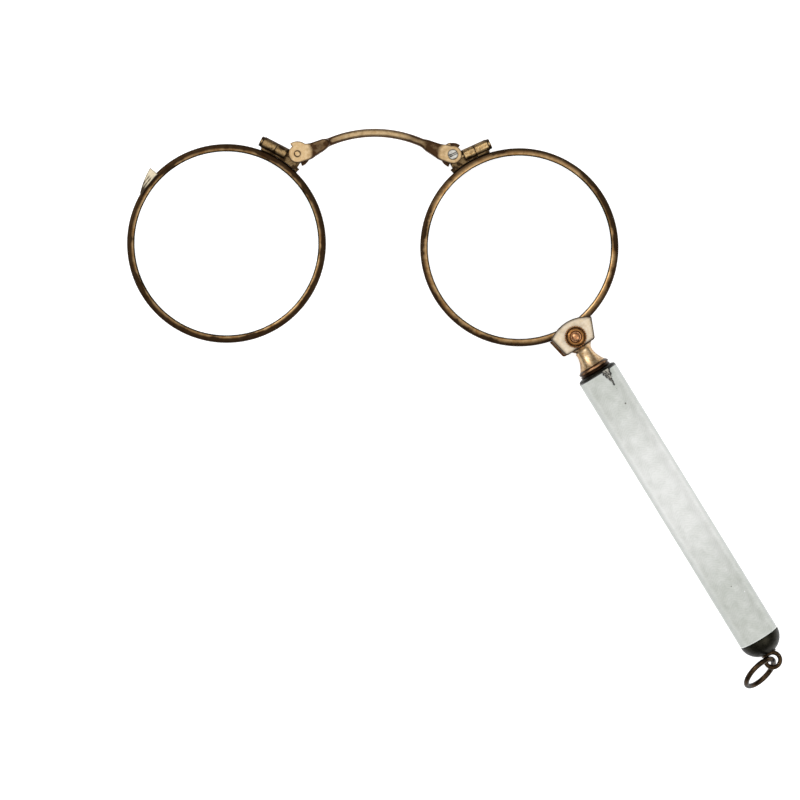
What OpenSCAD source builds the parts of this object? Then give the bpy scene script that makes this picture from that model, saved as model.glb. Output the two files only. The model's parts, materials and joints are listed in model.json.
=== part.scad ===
// Folding lorgnette: two round rims on a sprung bridge, a release housing and an enamelled handle.
// Millimetres. The open frame lies in the XY plane and +Z points at the viewer.
// The design is laid out about the centre of the right lens, and place() moves the
// finished pieces so that the origin is at the bottom centre of the whole part.

/* [Lenses and rims] */
// Clear opening inside each rim
lens_open_d = 40; // [34:0.5:46]
// Radial width of the rim
rim_w = 1.7; // [1.4:0.1:2.4]
// Depth of the rim along the line of sight
rim_depth = 1.6; // [1.4:0.1:2.2]
// Thickness of the lens at its centre
lens_t = 1.5; // [1.2:0.1:1.6]
// Depth of the V groove that holds the lens
groove_depth = 0.6; // [0.4:0.05:0.8]
// Free height between the two rims when they lie folded on each other
rim_gap = 0.7; // [0.6:0.05:1.2]

/* [Bridge and pivots] */
// Distance between the two pivots
pivot_span = 33.9; // [31:0.1:38]
// Distance from each pivot to the outer edge of its rim
pivot_reach = 3.2; // [3.2:0.1:4]
// Angle from straight down to the right lens centre when open
open_right = 35.7; // [30:0.1:42]
// Angle from straight down to the left lens centre when open
open_left = 38.5; // [30:0.1:42]
// Diameter of the round bridge bar
bar_d = 1.95; // [1.6:0.05:2.2]
// Radius of the bridge arch at the middle of the bar
arch_r = 25.75; // [24:0.25:30]
// Clearance between the arch and the folded rims
arch_gap = 0.3; // [0.25:0.05:1]
// Thickness of one fork ear
ear_t = 0.6; // [0.5:0.05:0.8]
// Radius of the front ear
ear_r = 1.95; // [1.8:0.05:2]
// Radius of the rounded lobe at each end of the bridge
lobe_r = 2.75; // [2.4:0.05:2.85]
// Thickness of the hinge knuckle between the ears
knuckle_t = 1.0; // [0.8:0.05:1.1]
// Radius of the hinge knuckle
knuckle_r = 1.75; // [1.6:0.05:1.8]
// Radius of the pivot pin
pin_r = 0.6; // [0.5:0.05:0.7]
// Side and radial play of the hinge
hinge_play = 0.05; // [0.03:0.01:0.08]
// Radius of the slotted head of the right pivot screw
screw_head_r = 1.1; // [0.9:0.05:1.3]
// Wire thickness of the hinge springs
hinge_wire = 0.2; // [0.15:0.01:0.22]

/* [Closing barrels] */
// Diameter of the two-part closing barrel on each rim
barrel_d = 2.6; // [2:0.1:2.8]
// Angle along the rim from the pivot to the split
split_angle = 11.1; // [10.5:0.1:13]
// Length of the inner half of the barrel
barrel_inner = 2.6; // [2.2:0.1:2.7]
// Length of the outer half of the barrel, without the screw head
barrel_outer = 3.1; // [2.6:0.1:4]
// Width of the split in the rim
split_gap = 0.1; // [0.1:0.05:0.3]
// Radius of the closing screw
closing_screw_r = 0.5; // [0.35:0.05:0.6]

/* [Release housing] */
// Angle of the handle axis, below the +X axis
handle_angle = 58.5; // [56:0.5:61]
// Thickness of the front plate
plate_t = 1.0; // [0.9:0.05:1.4]
// Half width of the plates at the lens side
plate_half_w = 5.2; // [4.6:0.1:5.6]
// Half width of the plates at the neck side, where the left rim enters
plate_half_end = 4.35; // [4:0.05:4.6]
// How much nearer the other corner of the plates is
plate_skew = 0.85; // [0.4:0.05:1]
// Distance from the outer edge of the rim to the neck end of the plates
plate_reach = 3.9; // [3.7:0.1:4.6]
// How far the front plate reaches inwards over the rim
plate_overhang = 0.7; // [0.2:0.1:1.5]
// Setback of the front plate on the side where the left rim enters
front_setback = 0.45; // [0.3:0.05:1.2]
// Height of the catch slot above the folded left rim
catch_room = 0.8; // [0.7:0.05:1.2]
// Clearance round the path of the folding rim
sweep_gap = 0.3; // [0.25:0.05:0.5]

/* [Button and catch] */
// Distance from the outer edge of the rim to the middle of the button
button_out = 1.4; // [1.35:0.05:1.6]
// Outer radius of the milled bezel
bezel_r = 2.4; // [2.2:0.05:2.6]
// Height of the bezel above the front plate
bezel_h = 0.85; // [0.7:0.05:1]
// Radius of the domed button
button_r = 1.15; // [1:0.05:1.25]
// Travel of the button
button_travel = 0.7; // [0.5:0.05:0.75]
// Number of teeth round the bezel
bezel_teeth = 28; // [16:1:36]
// Radial height of the catch tab at its steep end
tab_h = 1.65; // [1.2:0.05:1.7]
// Thickness of the catch leaf spring
leaf_t = 0.25; // [0.2:0.05:0.3]
// Radius of the stem under the button
stem_pin_r = 0.25; // [0.2:0.01:0.3]

/* [Handle] */
// Outer diameter of the enamelled handle
handle_d = 9.2; // [8.4:0.1:10]
// Length of the enamelled part
handle_len = 67.4; // [50:0.2:90]
// Thickness of the enamel
enamel_t = 0.5; // [0.3:0.05:0.7]
// Wall of the metal tube under the enamel
tube_wall = 0.7; // [0.5:0.05:1]
// Length of the waisted neck
neck_len = 4.8; // [4:0.1:6]
// Radius of the neck at its waist
waist_r = 1.85; // [1.6:0.05:2.2]
// Radius of the neck where it meets the collar
neck_foot_r = 3.15; // [2.8:0.05:3.4]
// Radius of the dark collar
collar_r = 3.6; // [3.3:0.05:3.9]
// Length of the collar
collar_len = 1.5; // [1.2:0.1:2]
// Length of the metal end in front of the enamel
ferrule_len = 0.6; // [0.4:0.1:1]
// Height of the domed end cap
cap_len = 4.2; // [3:0.1:6]
// Radius of the steel tie rod inside the handle
rod_r = 1.0; // [0.8:0.05:1.2]

/* [Eyelet and ring] */
// Radius of the hole in the eyelet
eyelet_hole_r = 1.14; // [1.1:0.02:1.3]
// Thickness of the eyelet loop
eyelet_wire = 0.96; // [0.8:0.02:1]
// Mean radius of the ring
ring_r = 3.92; // [3.6:0.02:4.4]
// Wire thickness of the ring
ring_wire = 1.14; // [0.9:0.02:1.2]
// Direction of the ring from the handle axis at rest
ring_rest = 77; // [70:1:80]
// Tilt of the ring out of the lens plane
ring_tilt = 61; // [58:0.5:75]

/* [Hidden] */
$fn = 96;

// Play between pieces that are screwed or pushed together
fit_gap = 0.02;

// Rims and their layers
lens_r = lens_open_d / 2;
rim_r = lens_r + rim_w;
rim_band = 0.7;
rim_round = (rim_depth - rim_band) / 2;
lens_edge_t = 0.9;
lens_play = 0.16;
left_z = rim_depth + rim_gap;
left_top = left_z + rim_depth / 2;

// Pivots and the open and folded places of the lens centres
pivot_r = rim_r + pivot_reach;
fold_lean = asin(pivot_span / 2 / pivot_r);
fold_right = open_right + fold_lean;
fold_left = open_left + fold_lean;
fold_ratio = fold_left / fold_right;
right_pivot = [-pivot_r * sin(open_right), pivot_r * cos(open_right)];
left_pivot = right_pivot - [pivot_span, 0];
left_centre = left_pivot - pivot_r * [sin(open_left), cos(open_left)];

// Bridge arch: its inner edge clears the folded rims by arch_gap
arch_drop = arch_r - bar_d / 2 + pivot_r * cos(fold_lean) - rim_r - arch_gap;
arch_centre = [right_pivot[0] - pivot_span / 2, right_pivot[1] - arch_drop];
arch_slope = atan(left_z / pivot_span);
ear_z = knuckle_t / 2 + hinge_play;

// Closing barrels, in the frame of one rim with its pivot straight above the lens centre
barrel_r = barrel_d / 2;
barrel_axis_r = rim_r + 0.3 + barrel_r;
split_dir = 90 - split_angle;
split_turn = asin(split_gap / 2 / rim_r);
screw_head_len = 0.6;

// Release housing, along the handle axis
slot_bottom = rim_depth / 2;
plate_z = left_top + catch_room;
plate_top = plate_z + plate_t;
handle_z = (plate_top - rim_depth / 2) / 2;
plate_end = rim_r + plate_reach;
plate_side = rim_r - 0.5;
knob_t = rim_r + button_out;
plate_bow_r = 8.5;

// Handle stations, as distances from the right lens centre along the handle axis
neck_end = plate_end + neck_len;
collar_end = neck_end + collar_len;
enamel_start = collar_end + ferrule_len;
enamel_end = enamel_start + handle_len;
handle_r = handle_d / 2;
tube_r = handle_r - enamel_t;
bore_r = tube_r - tube_wall;
spigot_r = 1.6;
spigot_len = 5;
plug_len = 2;
cap_flat_r = 1.75;
cap_flat = cap_len * sqrt(1 - pow(cap_flat_r / handle_r, 2));
eyelet_base_t = 0.35;
eyelet_r = eyelet_hole_r + eyelet_wire / 2;
eyelet_at = enamel_end + cap_flat + eyelet_hole_r + eyelet_wire - 0.2;
stem_r = 0.9;

// Ring at rest, and the box of the whole part for the origin
along = [cos(handle_angle), -sin(handle_angle)];
hole_at = eyelet_at * along;
ring_dir = -handle_angle - ring_rest;
ring_at = hole_at + ring_r * [cos(ring_dir), sin(ring_dir)];
ring_low = norm([ring_r * sin(ring_dir), ring_r * cos(ring_tilt) * cos(ring_dir)]) + ring_wire / 2;
box_left = left_centre[0] - rim_r;
box_right = hole_at[0] + eyelet_hole_r + eyelet_wire;
box_top = arch_centre[1] + arch_r + bar_d / 2;
box_bottom = ring_at[1] - ring_low;
origin = [(box_left + box_right) / 2, (box_top + box_bottom) / 2, handle_z - handle_r];

echo(fold_right = fold_right, fold_left = fold_left, fold_ratio = fold_ratio);
echo(origin = origin, right_pivot = right_pivot, left_pivot = left_pivot, left_centre = left_centre);
echo(hole_at = hole_at, ring_at = ring_at, handle_z = handle_z, plate_z = plate_z);

// Placing frames
module place() { translate(-origin) children(); }

module on_handle() { rotate([0, 0, -handle_angle]) children(); }

module turned_on_handle() { on_handle() translate([0, 0, handle_z]) rotate([90, 0, 90]) children(); }

module right_rim_frame() { rotate([0, 0, open_right]) children(); }

module left_rim_frame() {
    translate([left_centre[0], left_centre[1], left_z])
        rotate([0, 0, -open_left]) mirror([1, 0, 0]) children();
}

module right_fork_frame() { translate([right_pivot[0], right_pivot[1], 0]) children(); }

module left_fork_frame() { translate([left_pivot[0], left_pivot[1], left_z]) mirror([1, 0, 0]) children(); }

// Shapes used more than once
function arc_points(r, from, to, steps) =
    [for (i = [0:steps]) r * [cos(from + (to - from) * i / steps), sin(from + (to - from) * i / steps)]];

// Flat link with round ends: two circles and the tangent edges between them
module link_2d(a, ra, b, rb) {
    d = norm(b - a);
    dir = atan2(b[1] - a[1], b[0] - a[0]);
    lean = acos((ra - rb) / d);
    translate(a) circle(ra);
    translate(b) circle(rb);
    polygon([
        a + ra * [cos(dir + lean), sin(dir + lean)], b + rb * [cos(dir + lean), sin(dir + lean)],
        b + rb * [cos(dir - lean), sin(dir - lean)], a + ra * [cos(dir - lean), sin(dir - lean)]
    ]);
}

module sector_2d(r_in, r_out, from, to) {
    steps = 12;
    polygon(concat(arc_points(r_out, from, to, steps), arc_points(r_in, to, from, steps)));
}

module slab(z_low, z_high) { translate([0, 0, z_low]) linear_extrude(z_high - z_low) children(); }

// Open coil about Z: one unbroken tube of six sides
module coil(mean_r, wire, pitch, turns) {
    rings = 14;
    sides = 6;
    last = floor(rings * turns);
    points = [
        for (i = [0:last], j = [0:sides - 1])
            let (turn = 360 * i / rings, side = 360 * j / sides, r = mean_r + wire / 2 * cos(side))
            [r * cos(turn), r * sin(turn), pitch * i / rings + wire / 2 * sin(side)]
    ];
    walls = [
        for (i = [0:last - 1], j = [0:sides - 1])
            let (k = (j + 1) % sides)
            each [
                [i * sides + j, (i + 1) * sides + k, (i + 1) * sides + j],
                [i * sides + j, i * sides + k, (i + 1) * sides + k]
            ]
    ];
    first_end = [for (j = [1:sides - 2]) [0, j + 1, j]];
    last_end = [for (j = [1:sides - 2]) [last * sides, last * sides + j, last * sides + j + 1]];
    polyhedron(points, concat(walls, first_end, last_end));
}

// Rim: rounded outside, V groove inside, split at the closing barrel
module eye_wire() {
    half = rim_depth / 2;
    edge_cut = 0.1;
    centre = [rim_r - rim_round, rim_band / 2];
    upper = [for (a = [0:15:90]) centre + rim_round * [cos(a), sin(a)]];
    lower = [for (i = [len(upper) - 1:-1:0]) [upper[i][0], -upper[i][1]]];
    difference() {
        rotate_extrude() polygon(concat(
            [[lens_r + groove_depth, 0], [lens_r, -groove_depth]],
            [[lens_r, -half + edge_cut], [lens_r + edge_cut, -half]],
            lower,
            upper,
            [[lens_r + edge_cut, half], [lens_r, half - edge_cut], [lens_r, groove_depth]]
        ));
        rotate([0, 0, split_dir]) translate([rim_r, 0, 0])
            cube([4 * rim_w, split_gap, 2 * rim_depth], center = true);
    }
}

module lens() {
    face_r = lens_r - 0.1;
    edge_r = lens_r + groove_depth - lens_play;
    crown = (lens_t - lens_edge_t) / 2;
    steps = 8;
    front = [for (i = [0:steps]) [face_r * i / steps, lens_edge_t / 2 + crown * (1 - pow(i / steps, 2))]];
    back = [for (i = [steps:-1:0]) [front[i][0], -front[i][1]]];
    rotate_extrude() polygon(concat(front, [[edge_r, 0]], back));
}

// Frame of the barrel: Z runs along its axis from the split, outwards or back to the pivot
module barrel_outwards() {
    rotate([0, 0, split_dir - 90]) translate([0, barrel_axis_r, 0]) rotate([0, 90, 0]) children();
}

module barrel_inwards() {
    rotate([0, 0, split_dir - 90]) translate([0, barrel_axis_r, 0]) rotate([0, -90, 0]) children();
}

module closing_block_inner() {
    neck_at = rim_r * [cos(split_dir + 5), sin(split_dir + 5)] + [0, 1.1];
    difference() {
        union() {
            barrel_inwards() translate([0, 0, split_gap / 2]) cylinder(h = barrel_inner, r = barrel_r);
            slab(-knuckle_t / 2, knuckle_t / 2) {
                translate([0, pivot_r]) circle(knuckle_r);
                link_2d([0, pivot_r - 0.2], 1.55, [-0.3, rim_r + 0.5], 1.5);
                link_2d([0, pivot_r - 0.2], 1.4, neck_at, 1.1);
                sector_2d(rim_r - 0.4, rim_r + 0.95, split_dir + split_turn, 96);
            }
        }
        translate([0, 0, -rim_depth]) cylinder(h = 2 * rim_depth, r = rim_r + fit_gap);
        translate([0, pivot_r, -rim_depth]) cylinder(h = 2 * rim_depth, r = pin_r + hinge_play);
        translate([0, pivot_r, -rim_depth]) cylinder(h = rim_depth, r = 1.3);
        barrel_inwards() translate([0, 0, -1]) cylinder(h = barrel_inner, r = closing_screw_r + fit_gap);
    }
}

module closing_block_outer() {
    difference() {
        union() {
            barrel_outwards() translate([0, 0, split_gap / 2]) cylinder(h = barrel_outer, r = barrel_r);
            slab(-0.6, 0.6) sector_2d(rim_r - 0.4, rim_r + 0.95, split_dir - 7.5, split_dir - split_turn);
        }
        translate([0, 0, -rim_depth]) cylinder(h = 2 * rim_depth, r = rim_r + fit_gap);
        barrel_outwards() translate([0, 0, -1]) cylinder(h = barrel_outer + 3, r = closing_screw_r + 0.05);
    }
}

module closing_screw() {
    head_at = split_gap / 2 + barrel_outer + 0.02;
    shank_end = barrel_inner - 1.3;
    barrel_outwards() difference() {
        union() {
            translate([0, 0, -shank_end]) cylinder(h = head_at + shank_end + 0.1, r = closing_screw_r);
            translate([0, 0, head_at]) cylinder(h = screw_head_len, r = barrel_r - 0.12);
        }
        translate([0, 0, head_at + screw_head_len]) cube([0.6, 3 * barrel_r, 0.6], center = true);
    }
}

// One fork of the bridge, about its pivot, with the arch leaving towards -X
flare_at = [-3.5, 0.85];
flare_r = 1.7;
arch_end_at = [-5.9, 2.3];
arch_end_r = 1.1;

module fork_flare_2d() {
    link_2d(flare_at, flare_r, arch_end_at, arch_end_r);
    link_2d([-0.6, 0.1], ear_r - 0.1, flare_at, flare_r - 0.05);
}

// Everything that the folded rims need, about the point where their centres meet
module folded_rims_2d() {
    translate([-pivot_span / 2, -pivot_r * cos(fold_lean)]) circle(rim_r + arch_gap, $fn = 256);
}

module fork(front_lobe) {
    outer_z = ear_z + ear_t;
    lobe_from = 54;
    difference() {
        union() {
            // Rear ear, with the round lobe
            slab(-outer_z, -ear_z) difference() {
                union() {
                    fork_flare_2d();
                    circle(ear_r);
                    sector_2d(1, lobe_r, lobe_from, 250);
                }
                folded_rims_2d();
            }
            // Web between the ears, clear of the knuckle, its shoulder and its foot
            slab(-ear_z, ear_z) difference() {
                union() {
                    fork_flare_2d();
                    sector_2d(1, lobe_r, 100, 164);
                }
                circle(knuckle_r + 0.15);
                sector_2d(1, lobe_r + 1.2, -110, 99);
                sector_2d(1, lobe_r + 1.2, 165, 255);
                folded_rims_2d();
            }
            // Front ear
            slab(ear_z, outer_z) difference() {
                union() {
                    fork_flare_2d();
                    circle(ear_r);
                    if (front_lobe) sector_2d(1, lobe_r, lobe_from, 130);
                }
                folded_rims_2d();
            }
        }
        translate([0, 0, -outer_z - 1]) cylinder(h = 2 * outer_z + 2, r = pin_r + 0.01);
    }
}

module arch() {
    reach = asin((pivot_span / 2 - 5.3) / arch_r);
    translate([arch_centre[0], arch_centre[1], left_z / 2]) rotate([0, arch_slope, 0])
        rotate([0, 0, 90 - reach]) rotate_extrude(angle = 2 * reach) translate([arch_r, 0]) circle(bar_d / 2);
}

module pivot_spring() {
    translate([0, 0, -knuckle_t / 2 + hinge_wire / 2 + 0.02])
        coil(1.0, hinge_wire, hinge_wire + 0.02, 1.25);
}

// Catch slot: everything nearer the lens than this slanted line is swept by the folding rim
sweep_lean = atan(0.4);
sweep_at = rim_r + 3.8 + sweep_gap;

module swept_2d() {
    reach = rim_r;
    translate([sweep_at, 0]) rotate([0, 0, sweep_lean])
        translate([-reach, -reach]) square([reach, 2 * reach]);
}

function neck_radius(t) =
    let (waist_at = plate_end + 1.4)
    t < waist_at ? waist_r + 0.85 * pow((waist_at - t) / 1.4, 2)
                 : waist_r + (neck_foot_r - waist_r) * pow((t - waist_at) / (neck_end - waist_at), 2);

// Outline of the two plates, with cut corners at the neck
module plate_2d(inner, setback) {
    low_side = plate_half_w - setback;
    low_end = plate_half_end - setback;
    high_end = plate_half_end - plate_skew;
    corner = [0.25, 0.4];
    polygon([
        [plate_side, -low_side], [plate_end - corner[0], -low_end], [plate_end, corner[1] - low_end],
        [plate_end, high_end - corner[1]], [plate_end - corner[0], high_end], [plate_side, plate_half_w]
    ]);
    if (inner) intersection() {
        translate([lens_r - plate_overhang + plate_bow_r, 0]) circle(plate_bow_r);
        translate([plate_side - 4, -low_side]) square([4.01, low_side + plate_half_w]);
    }
}

module housing() {
    steps = 16;
    on_handle() {
        // Back plate, soldered to the outer edge of the right rim
        difference() {
            slab(-rim_depth / 2, slot_bottom) plate_2d(false, 0);
            translate([0, 0, -rim_depth]) cylinder(h = 2 * rim_depth, r = rim_r + fit_gap);
        }
        // Corner pillar that carries the front plate
        slab(slot_bottom, plate_z) difference() {
            plate_2d(false, 0);
            swept_2d();
        }
    }
    // Waisted neck, notched for the folding rim, and its threaded spigot
    difference() {
        turned_on_handle() difference() {
            rotate_extrude() polygon(concat(
                [[0, plate_end]],
                [for (i = [0:steps]) let (t = plate_end + neck_len * i / steps) [neck_radius(t), t]],
                [[spigot_r, neck_end], [spigot_r, neck_end + spigot_len], [0, neck_end + spigot_len]]
            ));
            translate([0, 0, collar_end]) cylinder(h = spigot_len, r = rod_r + fit_gap);
        }
        on_handle() slab(slot_bottom, plate_z) swept_2d();
    }
}

// Button: its skirt drops into a pocket that is a little deeper than the travel
pocket_z = plate_top - button_travel - 0.05;
skirt_r = button_r + 0.18;
skirt_t = 0.25;
hollow_h = 0.5;

module front_plate_piece() {
    on_handle() difference() {
        slab(plate_z, plate_top) plate_2d(true, front_setback);
        translate([knob_t, 0, pocket_z]) cylinder(h = plate_t, r = skirt_r + 0.1);
        translate([knob_t, 0, plate_z - 1]) cylinder(h = 2, r = stem_pin_r + 0.06);
    }
}

module bezel_piece() {
    bezel_step = 0.25;
    tooth_r = 0.2;
    on_handle() translate([knob_t, 0, plate_top]) difference() {
        union() {
            cylinder(h = bezel_h - bezel_step, r = bezel_r - 0.12);
            cylinder(h = bezel_h, r = bezel_r - 0.45);
            for (i = [0:bezel_teeth - 1]) rotate([0, 0, 360 * i / bezel_teeth])
                translate([bezel_r - tooth_r, 0, 0])
                    cylinder(h = bezel_h - bezel_step, r = tooth_r, $fn = 16);
        }
        translate([0, 0, -1]) cylinder(h = 3, r = button_r + 0.04);
        translate([0, 0, -1]) cylinder(h = skirt_t + 1.05, r = skirt_r + 0.06);
    }
}

module button_piece() {
    dome_at = plate_top + bezel_h;
    dome_h = 0.6;
    dome_r = (pow(button_r, 2) + pow(dome_h, 2)) / 2 / dome_h;
    on_handle() translate([knob_t, 0, 0]) {
        difference() {
            union() {
                translate([0, 0, plate_top]) cylinder(h = skirt_t, r = skirt_r);
                translate([0, 0, plate_top]) cylinder(h = bezel_h, r = button_r);
                translate([0, 0, dome_at]) rotate_extrude() polygon(concat(
                    [[0, 0]],
                    [for (i = [0:6]) let (r = button_r * (1 - i / 6))
                        [r, dome_h - dome_r + sqrt(pow(dome_r, 2) - pow(r, 2))]]
                ));
            }
            translate([0, 0, plate_top - 1]) cylinder(h = 1 + hollow_h, r = button_r - 0.2);
        }
        rotate_extrude() polygon([
            [0, plate_z + 0.03], [stem_pin_r - 0.1, plate_z + 0.03], [stem_pin_r, plate_z + 0.15],
            [stem_pin_r, plate_top + hollow_h + 0.1], [0, plate_top + hollow_h + 0.1]
        ]);
    }
}

module button_coil() {
    wire = 0.16;
    height = plate_top + hollow_h - pocket_z - wire - 0.04;
    turns = 3;
    on_handle() translate([knob_t, 0, pocket_z + wire / 2 + 0.02])
        coil((stem_pin_r + button_r) / 2, wire, height / turns, turns);
}

// Wedge on the left rim: when folded, it stands between these angles from the handle axis
tab_stop = -6.3;
tab_start = 8.5;

// Leaf spring on edge under the front plate, with a hooked nose behind the folded tab
module leaf() {
    inner = knob_t + 0.62;
    outer = inner + leaf_t;
    nose_t = knob_t - 0.6;
    nose_v = (rim_r + tab_h) * sin(tab_stop) - 0.2;
    fixed_v = plate_half_end - 0.6;
    bump = 0.6;
    on_handle() slab(left_top + 0.2, plate_z - 0.05) polygon([
        [nose_t, nose_v - leaf_t], [outer, nose_v - leaf_t], [outer, fixed_v], [inner, fixed_v],
        [inner, bump], [knob_t - 0.1, 0], [inner, -bump], [inner, nose_v], [nose_t, nose_v]
    ]);
}

module tab_piece() {
    steps = 4;
    ramp = [
        for (i = [0:steps])
            let (dir = tab_start + (tab_stop - tab_start) * i / steps)
            (rim_r + tab_h * i / steps) * [cos(dir), sin(dir)]
    ];
    profile = concat(ramp, arc_points(rim_r - 0.55, tab_stop - 0.5, tab_start, 8));
    translate([left_centre[0], left_centre[1], 0]) rotate([0, 0, -handle_angle - fold_right - fold_left]) {
        difference() {
            slab(left_z - rim_band / 2, left_top) polygon(profile);
            cylinder(h = 3 * left_top, r = rim_r + fit_gap);
        }
        slab(left_top, plate_z - 0.15) polygon(profile);
    }
}

// Turned pieces of the handle
module collar_piece() {
    turned_on_handle() rotate_extrude() polygon([
        [spigot_r + fit_gap, neck_end], [collar_r - 0.4, neck_end], [collar_r, neck_end + 0.35],
        [collar_r, neck_end + 0.7], [collar_r - 0.2, neck_end + 0.8], [collar_r - 0.2, neck_end + 1.0],
        [collar_r, neck_end + 1.1], [collar_r - 0.1, collar_end], [spigot_r + fit_gap, collar_end]
    ]);
}

module ferrule_piece() {
    turned_on_handle() rotate_extrude() polygon([
        [spigot_r + fit_gap, collar_end], [handle_r - 0.75, collar_end], [handle_r - 0.3, collar_end + 0.2],
        [handle_r - 0.05, enamel_start - 0.1], [handle_r - 0.05, enamel_start],
        [bore_r - fit_gap, enamel_start], [bore_r - fit_gap, enamel_start + plug_len],
        [spigot_r + fit_gap, enamel_start + plug_len]
    ]);
}

module pipe_on_handle(from, to, r_in, r_out) {
    turned_on_handle() rotate_extrude()
        polygon([[r_in, from], [r_out, from], [r_out, to], [r_in, to]]);
}

module cap_piece() {
    steps = 12;
    top = enamel_end + cap_flat;
    stem_depth = 2;
    turned_on_handle() rotate_extrude() polygon(concat(
        [[rod_r + fit_gap, enamel_end - plug_len], [bore_r - fit_gap, enamel_end - plug_len]],
        [[bore_r - fit_gap, enamel_end]],
        [for (i = [0:steps]) let (r = handle_r - (handle_r - cap_flat_r) * pow(i / steps, 2))
            [r, enamel_end + cap_len * sqrt(1 - pow(r / handle_r, 2))]],
        [[stem_r + fit_gap, top], [stem_r + fit_gap, top - stem_depth]],
        [[rod_r + fit_gap, top - stem_depth - 0.01]]
    ));
}

module eyelet_piece() {
    base = enamel_end + cap_flat;
    turned_on_handle() {
        translate([0, 0, base]) cylinder(h = eyelet_base_t, r = cap_flat_r);
        translate([0, 0, base - 1.9]) cylinder(h = 2, r = stem_r);
    }
    on_handle() difference() {
        translate([eyelet_at, 0, handle_z]) rotate_extrude() translate([eyelet_r, 0]) circle(eyelet_wire / 2);
        translate([base - 3, -3, handle_z - 3]) cube([3, 6, 6]);
    }
}

module ring_piece() {
    translate([ring_at[0], ring_at[1], handle_z]) rotate([0, 0, ring_dir + 180]) rotate([ring_tilt, 0, 0])
        rotate_extrude() translate([ring_r, 0]) circle(ring_wire / 2);
}

// Nodes
module right_eye_wire() { color([0.48, 0.34, 0.18]) place() right_rim_frame() eye_wire(); }

module right_lens() { color([0.85, 0.9, 0.92, 0.3]) place() lens(); }

module right_closing_block_outer() {
    color([0.62, 0.5, 0.32]) place() right_rim_frame() closing_block_outer();
}

module right_closing_block_inner() {
    color([0.55, 0.43, 0.26]) place() right_rim_frame() closing_block_inner();
}

module right_closing_screw() { color([0.72, 0.66, 0.55]) place() right_rim_frame() closing_screw(); }

module release_housing() { color([0.72, 0.55, 0.3]) place() housing(); }

module front_plate() { color([0.92, 0.84, 0.64]) place() front_plate_piece(); }

module button_bezel() { color([0.62, 0.42, 0.2]) place() bezel_piece(); }

module catch_spring() { color([0.3, 0.33, 0.4]) place() leaf(); }

module button_spring() { color([0.6, 0.6, 0.62]) place() button_coil(); }

module collar() { color([0.25, 0.17, 0.1]) place() collar_piece(); }

module handle_ferrule() { color([0.2, 0.16, 0.12]) place() ferrule_piece(); }

module handle_tube() {
    color([0.7, 0.68, 0.62]) place() pipe_on_handle(enamel_start, enamel_end, bore_r, tube_r);
}

module enamel_sleeve() {
    color([0.88, 0.89, 0.88]) place() pipe_on_handle(enamel_start, enamel_end, tube_r, handle_r);
}

module tie_rod() {
    rod_end = enamel_end + cap_flat - 2.1;
    color([0.55, 0.56, 0.58]) place() turned_on_handle()
        translate([0, 0, collar_end + 0.3]) cylinder(h = rod_end - collar_end - 0.3, r = rod_r);
}

module end_cap() { color([0.13, 0.12, 0.11]) place() cap_piece(); }

module eyelet() { color([0.22, 0.17, 0.12]) place() eyelet_piece(); }

module release_button() { color([0.6, 0.35, 0.13]) place() button_piece(); }

module bridge() {
    color([0.75, 0.62, 0.42]) place() {
        arch();
        right_fork_frame() fork(false);
        left_fork_frame() fork(true);
    }
}

module left_pivot_rivet() {
    reach = ear_z + ear_t;
    color([0.78, 0.7, 0.52]) place() left_fork_frame() {
        translate([0, 0, -reach]) cylinder(h = 2 * reach, r = pin_r);
        translate([0, 0, reach]) cylinder(h = 0.12, r1 = pin_r + 0.05, r2 = pin_r - 0.15);
    }
}

module right_pivot_screw() {
    reach = ear_z + ear_t;
    color([0.78, 0.76, 0.7]) place() right_fork_frame() difference() {
        union() {
            translate([0, 0, -reach]) cylinder(h = 2 * reach, r = pin_r);
            translate([0, 0, reach]) cylinder(h = 0.22, r = screw_head_r);
        }
        translate([0, 0, reach + 0.22]) rotate([0, 0, 25]) cube([3, 0.3, 0.24], center = true);
    }
}

module left_hinge_spring() { color([0.3, 0.33, 0.42]) place() left_fork_frame() pivot_spring(); }

module right_hinge_spring() { color([0.3, 0.33, 0.42]) place() right_fork_frame() pivot_spring(); }

module left_eye_wire() { color([0.48, 0.34, 0.18]) place() left_rim_frame() eye_wire(); }

module left_lens() { color([0.85, 0.9, 0.92, 0.3]) place() left_rim_frame() lens(); }

module left_closing_block_outer() {
    color([0.62, 0.5, 0.32]) place() left_rim_frame() closing_block_outer();
}

module left_closing_block_inner() {
    color([0.55, 0.43, 0.26]) place() left_rim_frame() closing_block_inner();
}

module left_closing_screw() { color([0.72, 0.66, 0.55]) place() left_rim_frame() closing_screw(); }

module catch_tab() { color([0.86, 0.8, 0.68]) place() tab_piece(); }

module chain_ring() { color([0.22, 0.17, 0.12]) place() ring_piece(); }

right_eye_wire();
right_lens();
right_closing_block_outer();
right_closing_block_inner();
right_closing_screw();
release_housing();
front_plate();
button_bezel();
catch_spring();
button_spring();
collar();
handle_ferrule();
handle_tube();
enamel_sleeve();
tie_rod();
end_cap();
eyelet();
release_button();
bridge();
left_pivot_rivet();
right_pivot_screw();
left_hinge_spring();
right_hinge_spring();
left_eye_wire();
left_lens();
left_closing_block_outer();
left_closing_block_inner();
left_closing_screw();
catch_tab();
chain_ring();
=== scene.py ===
"""Folding lorgnette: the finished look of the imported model.

Sizes are in millimetres and laid out about the centre of the right lens, as the solids are.
Meshes end up in metres, in the frame of the part.
"""

from __future__ import annotations

import json
import logging
import math
from dataclasses import dataclass
from enum import Enum
from functools import cached_property
from typing import Any, Callable, Sequence

import bmesh
import bpy
import numpy as np
from bpy.types import ID, Material, Mesh, MeshVertex, NodeOutputs, NodeTree, Object
from bpy.types import NodeSocket as Socket
from mathutils import Matrix, Vector
from mathutils.bvhtree import BVHTree
from mathutils.kdtree import KDTree

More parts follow.
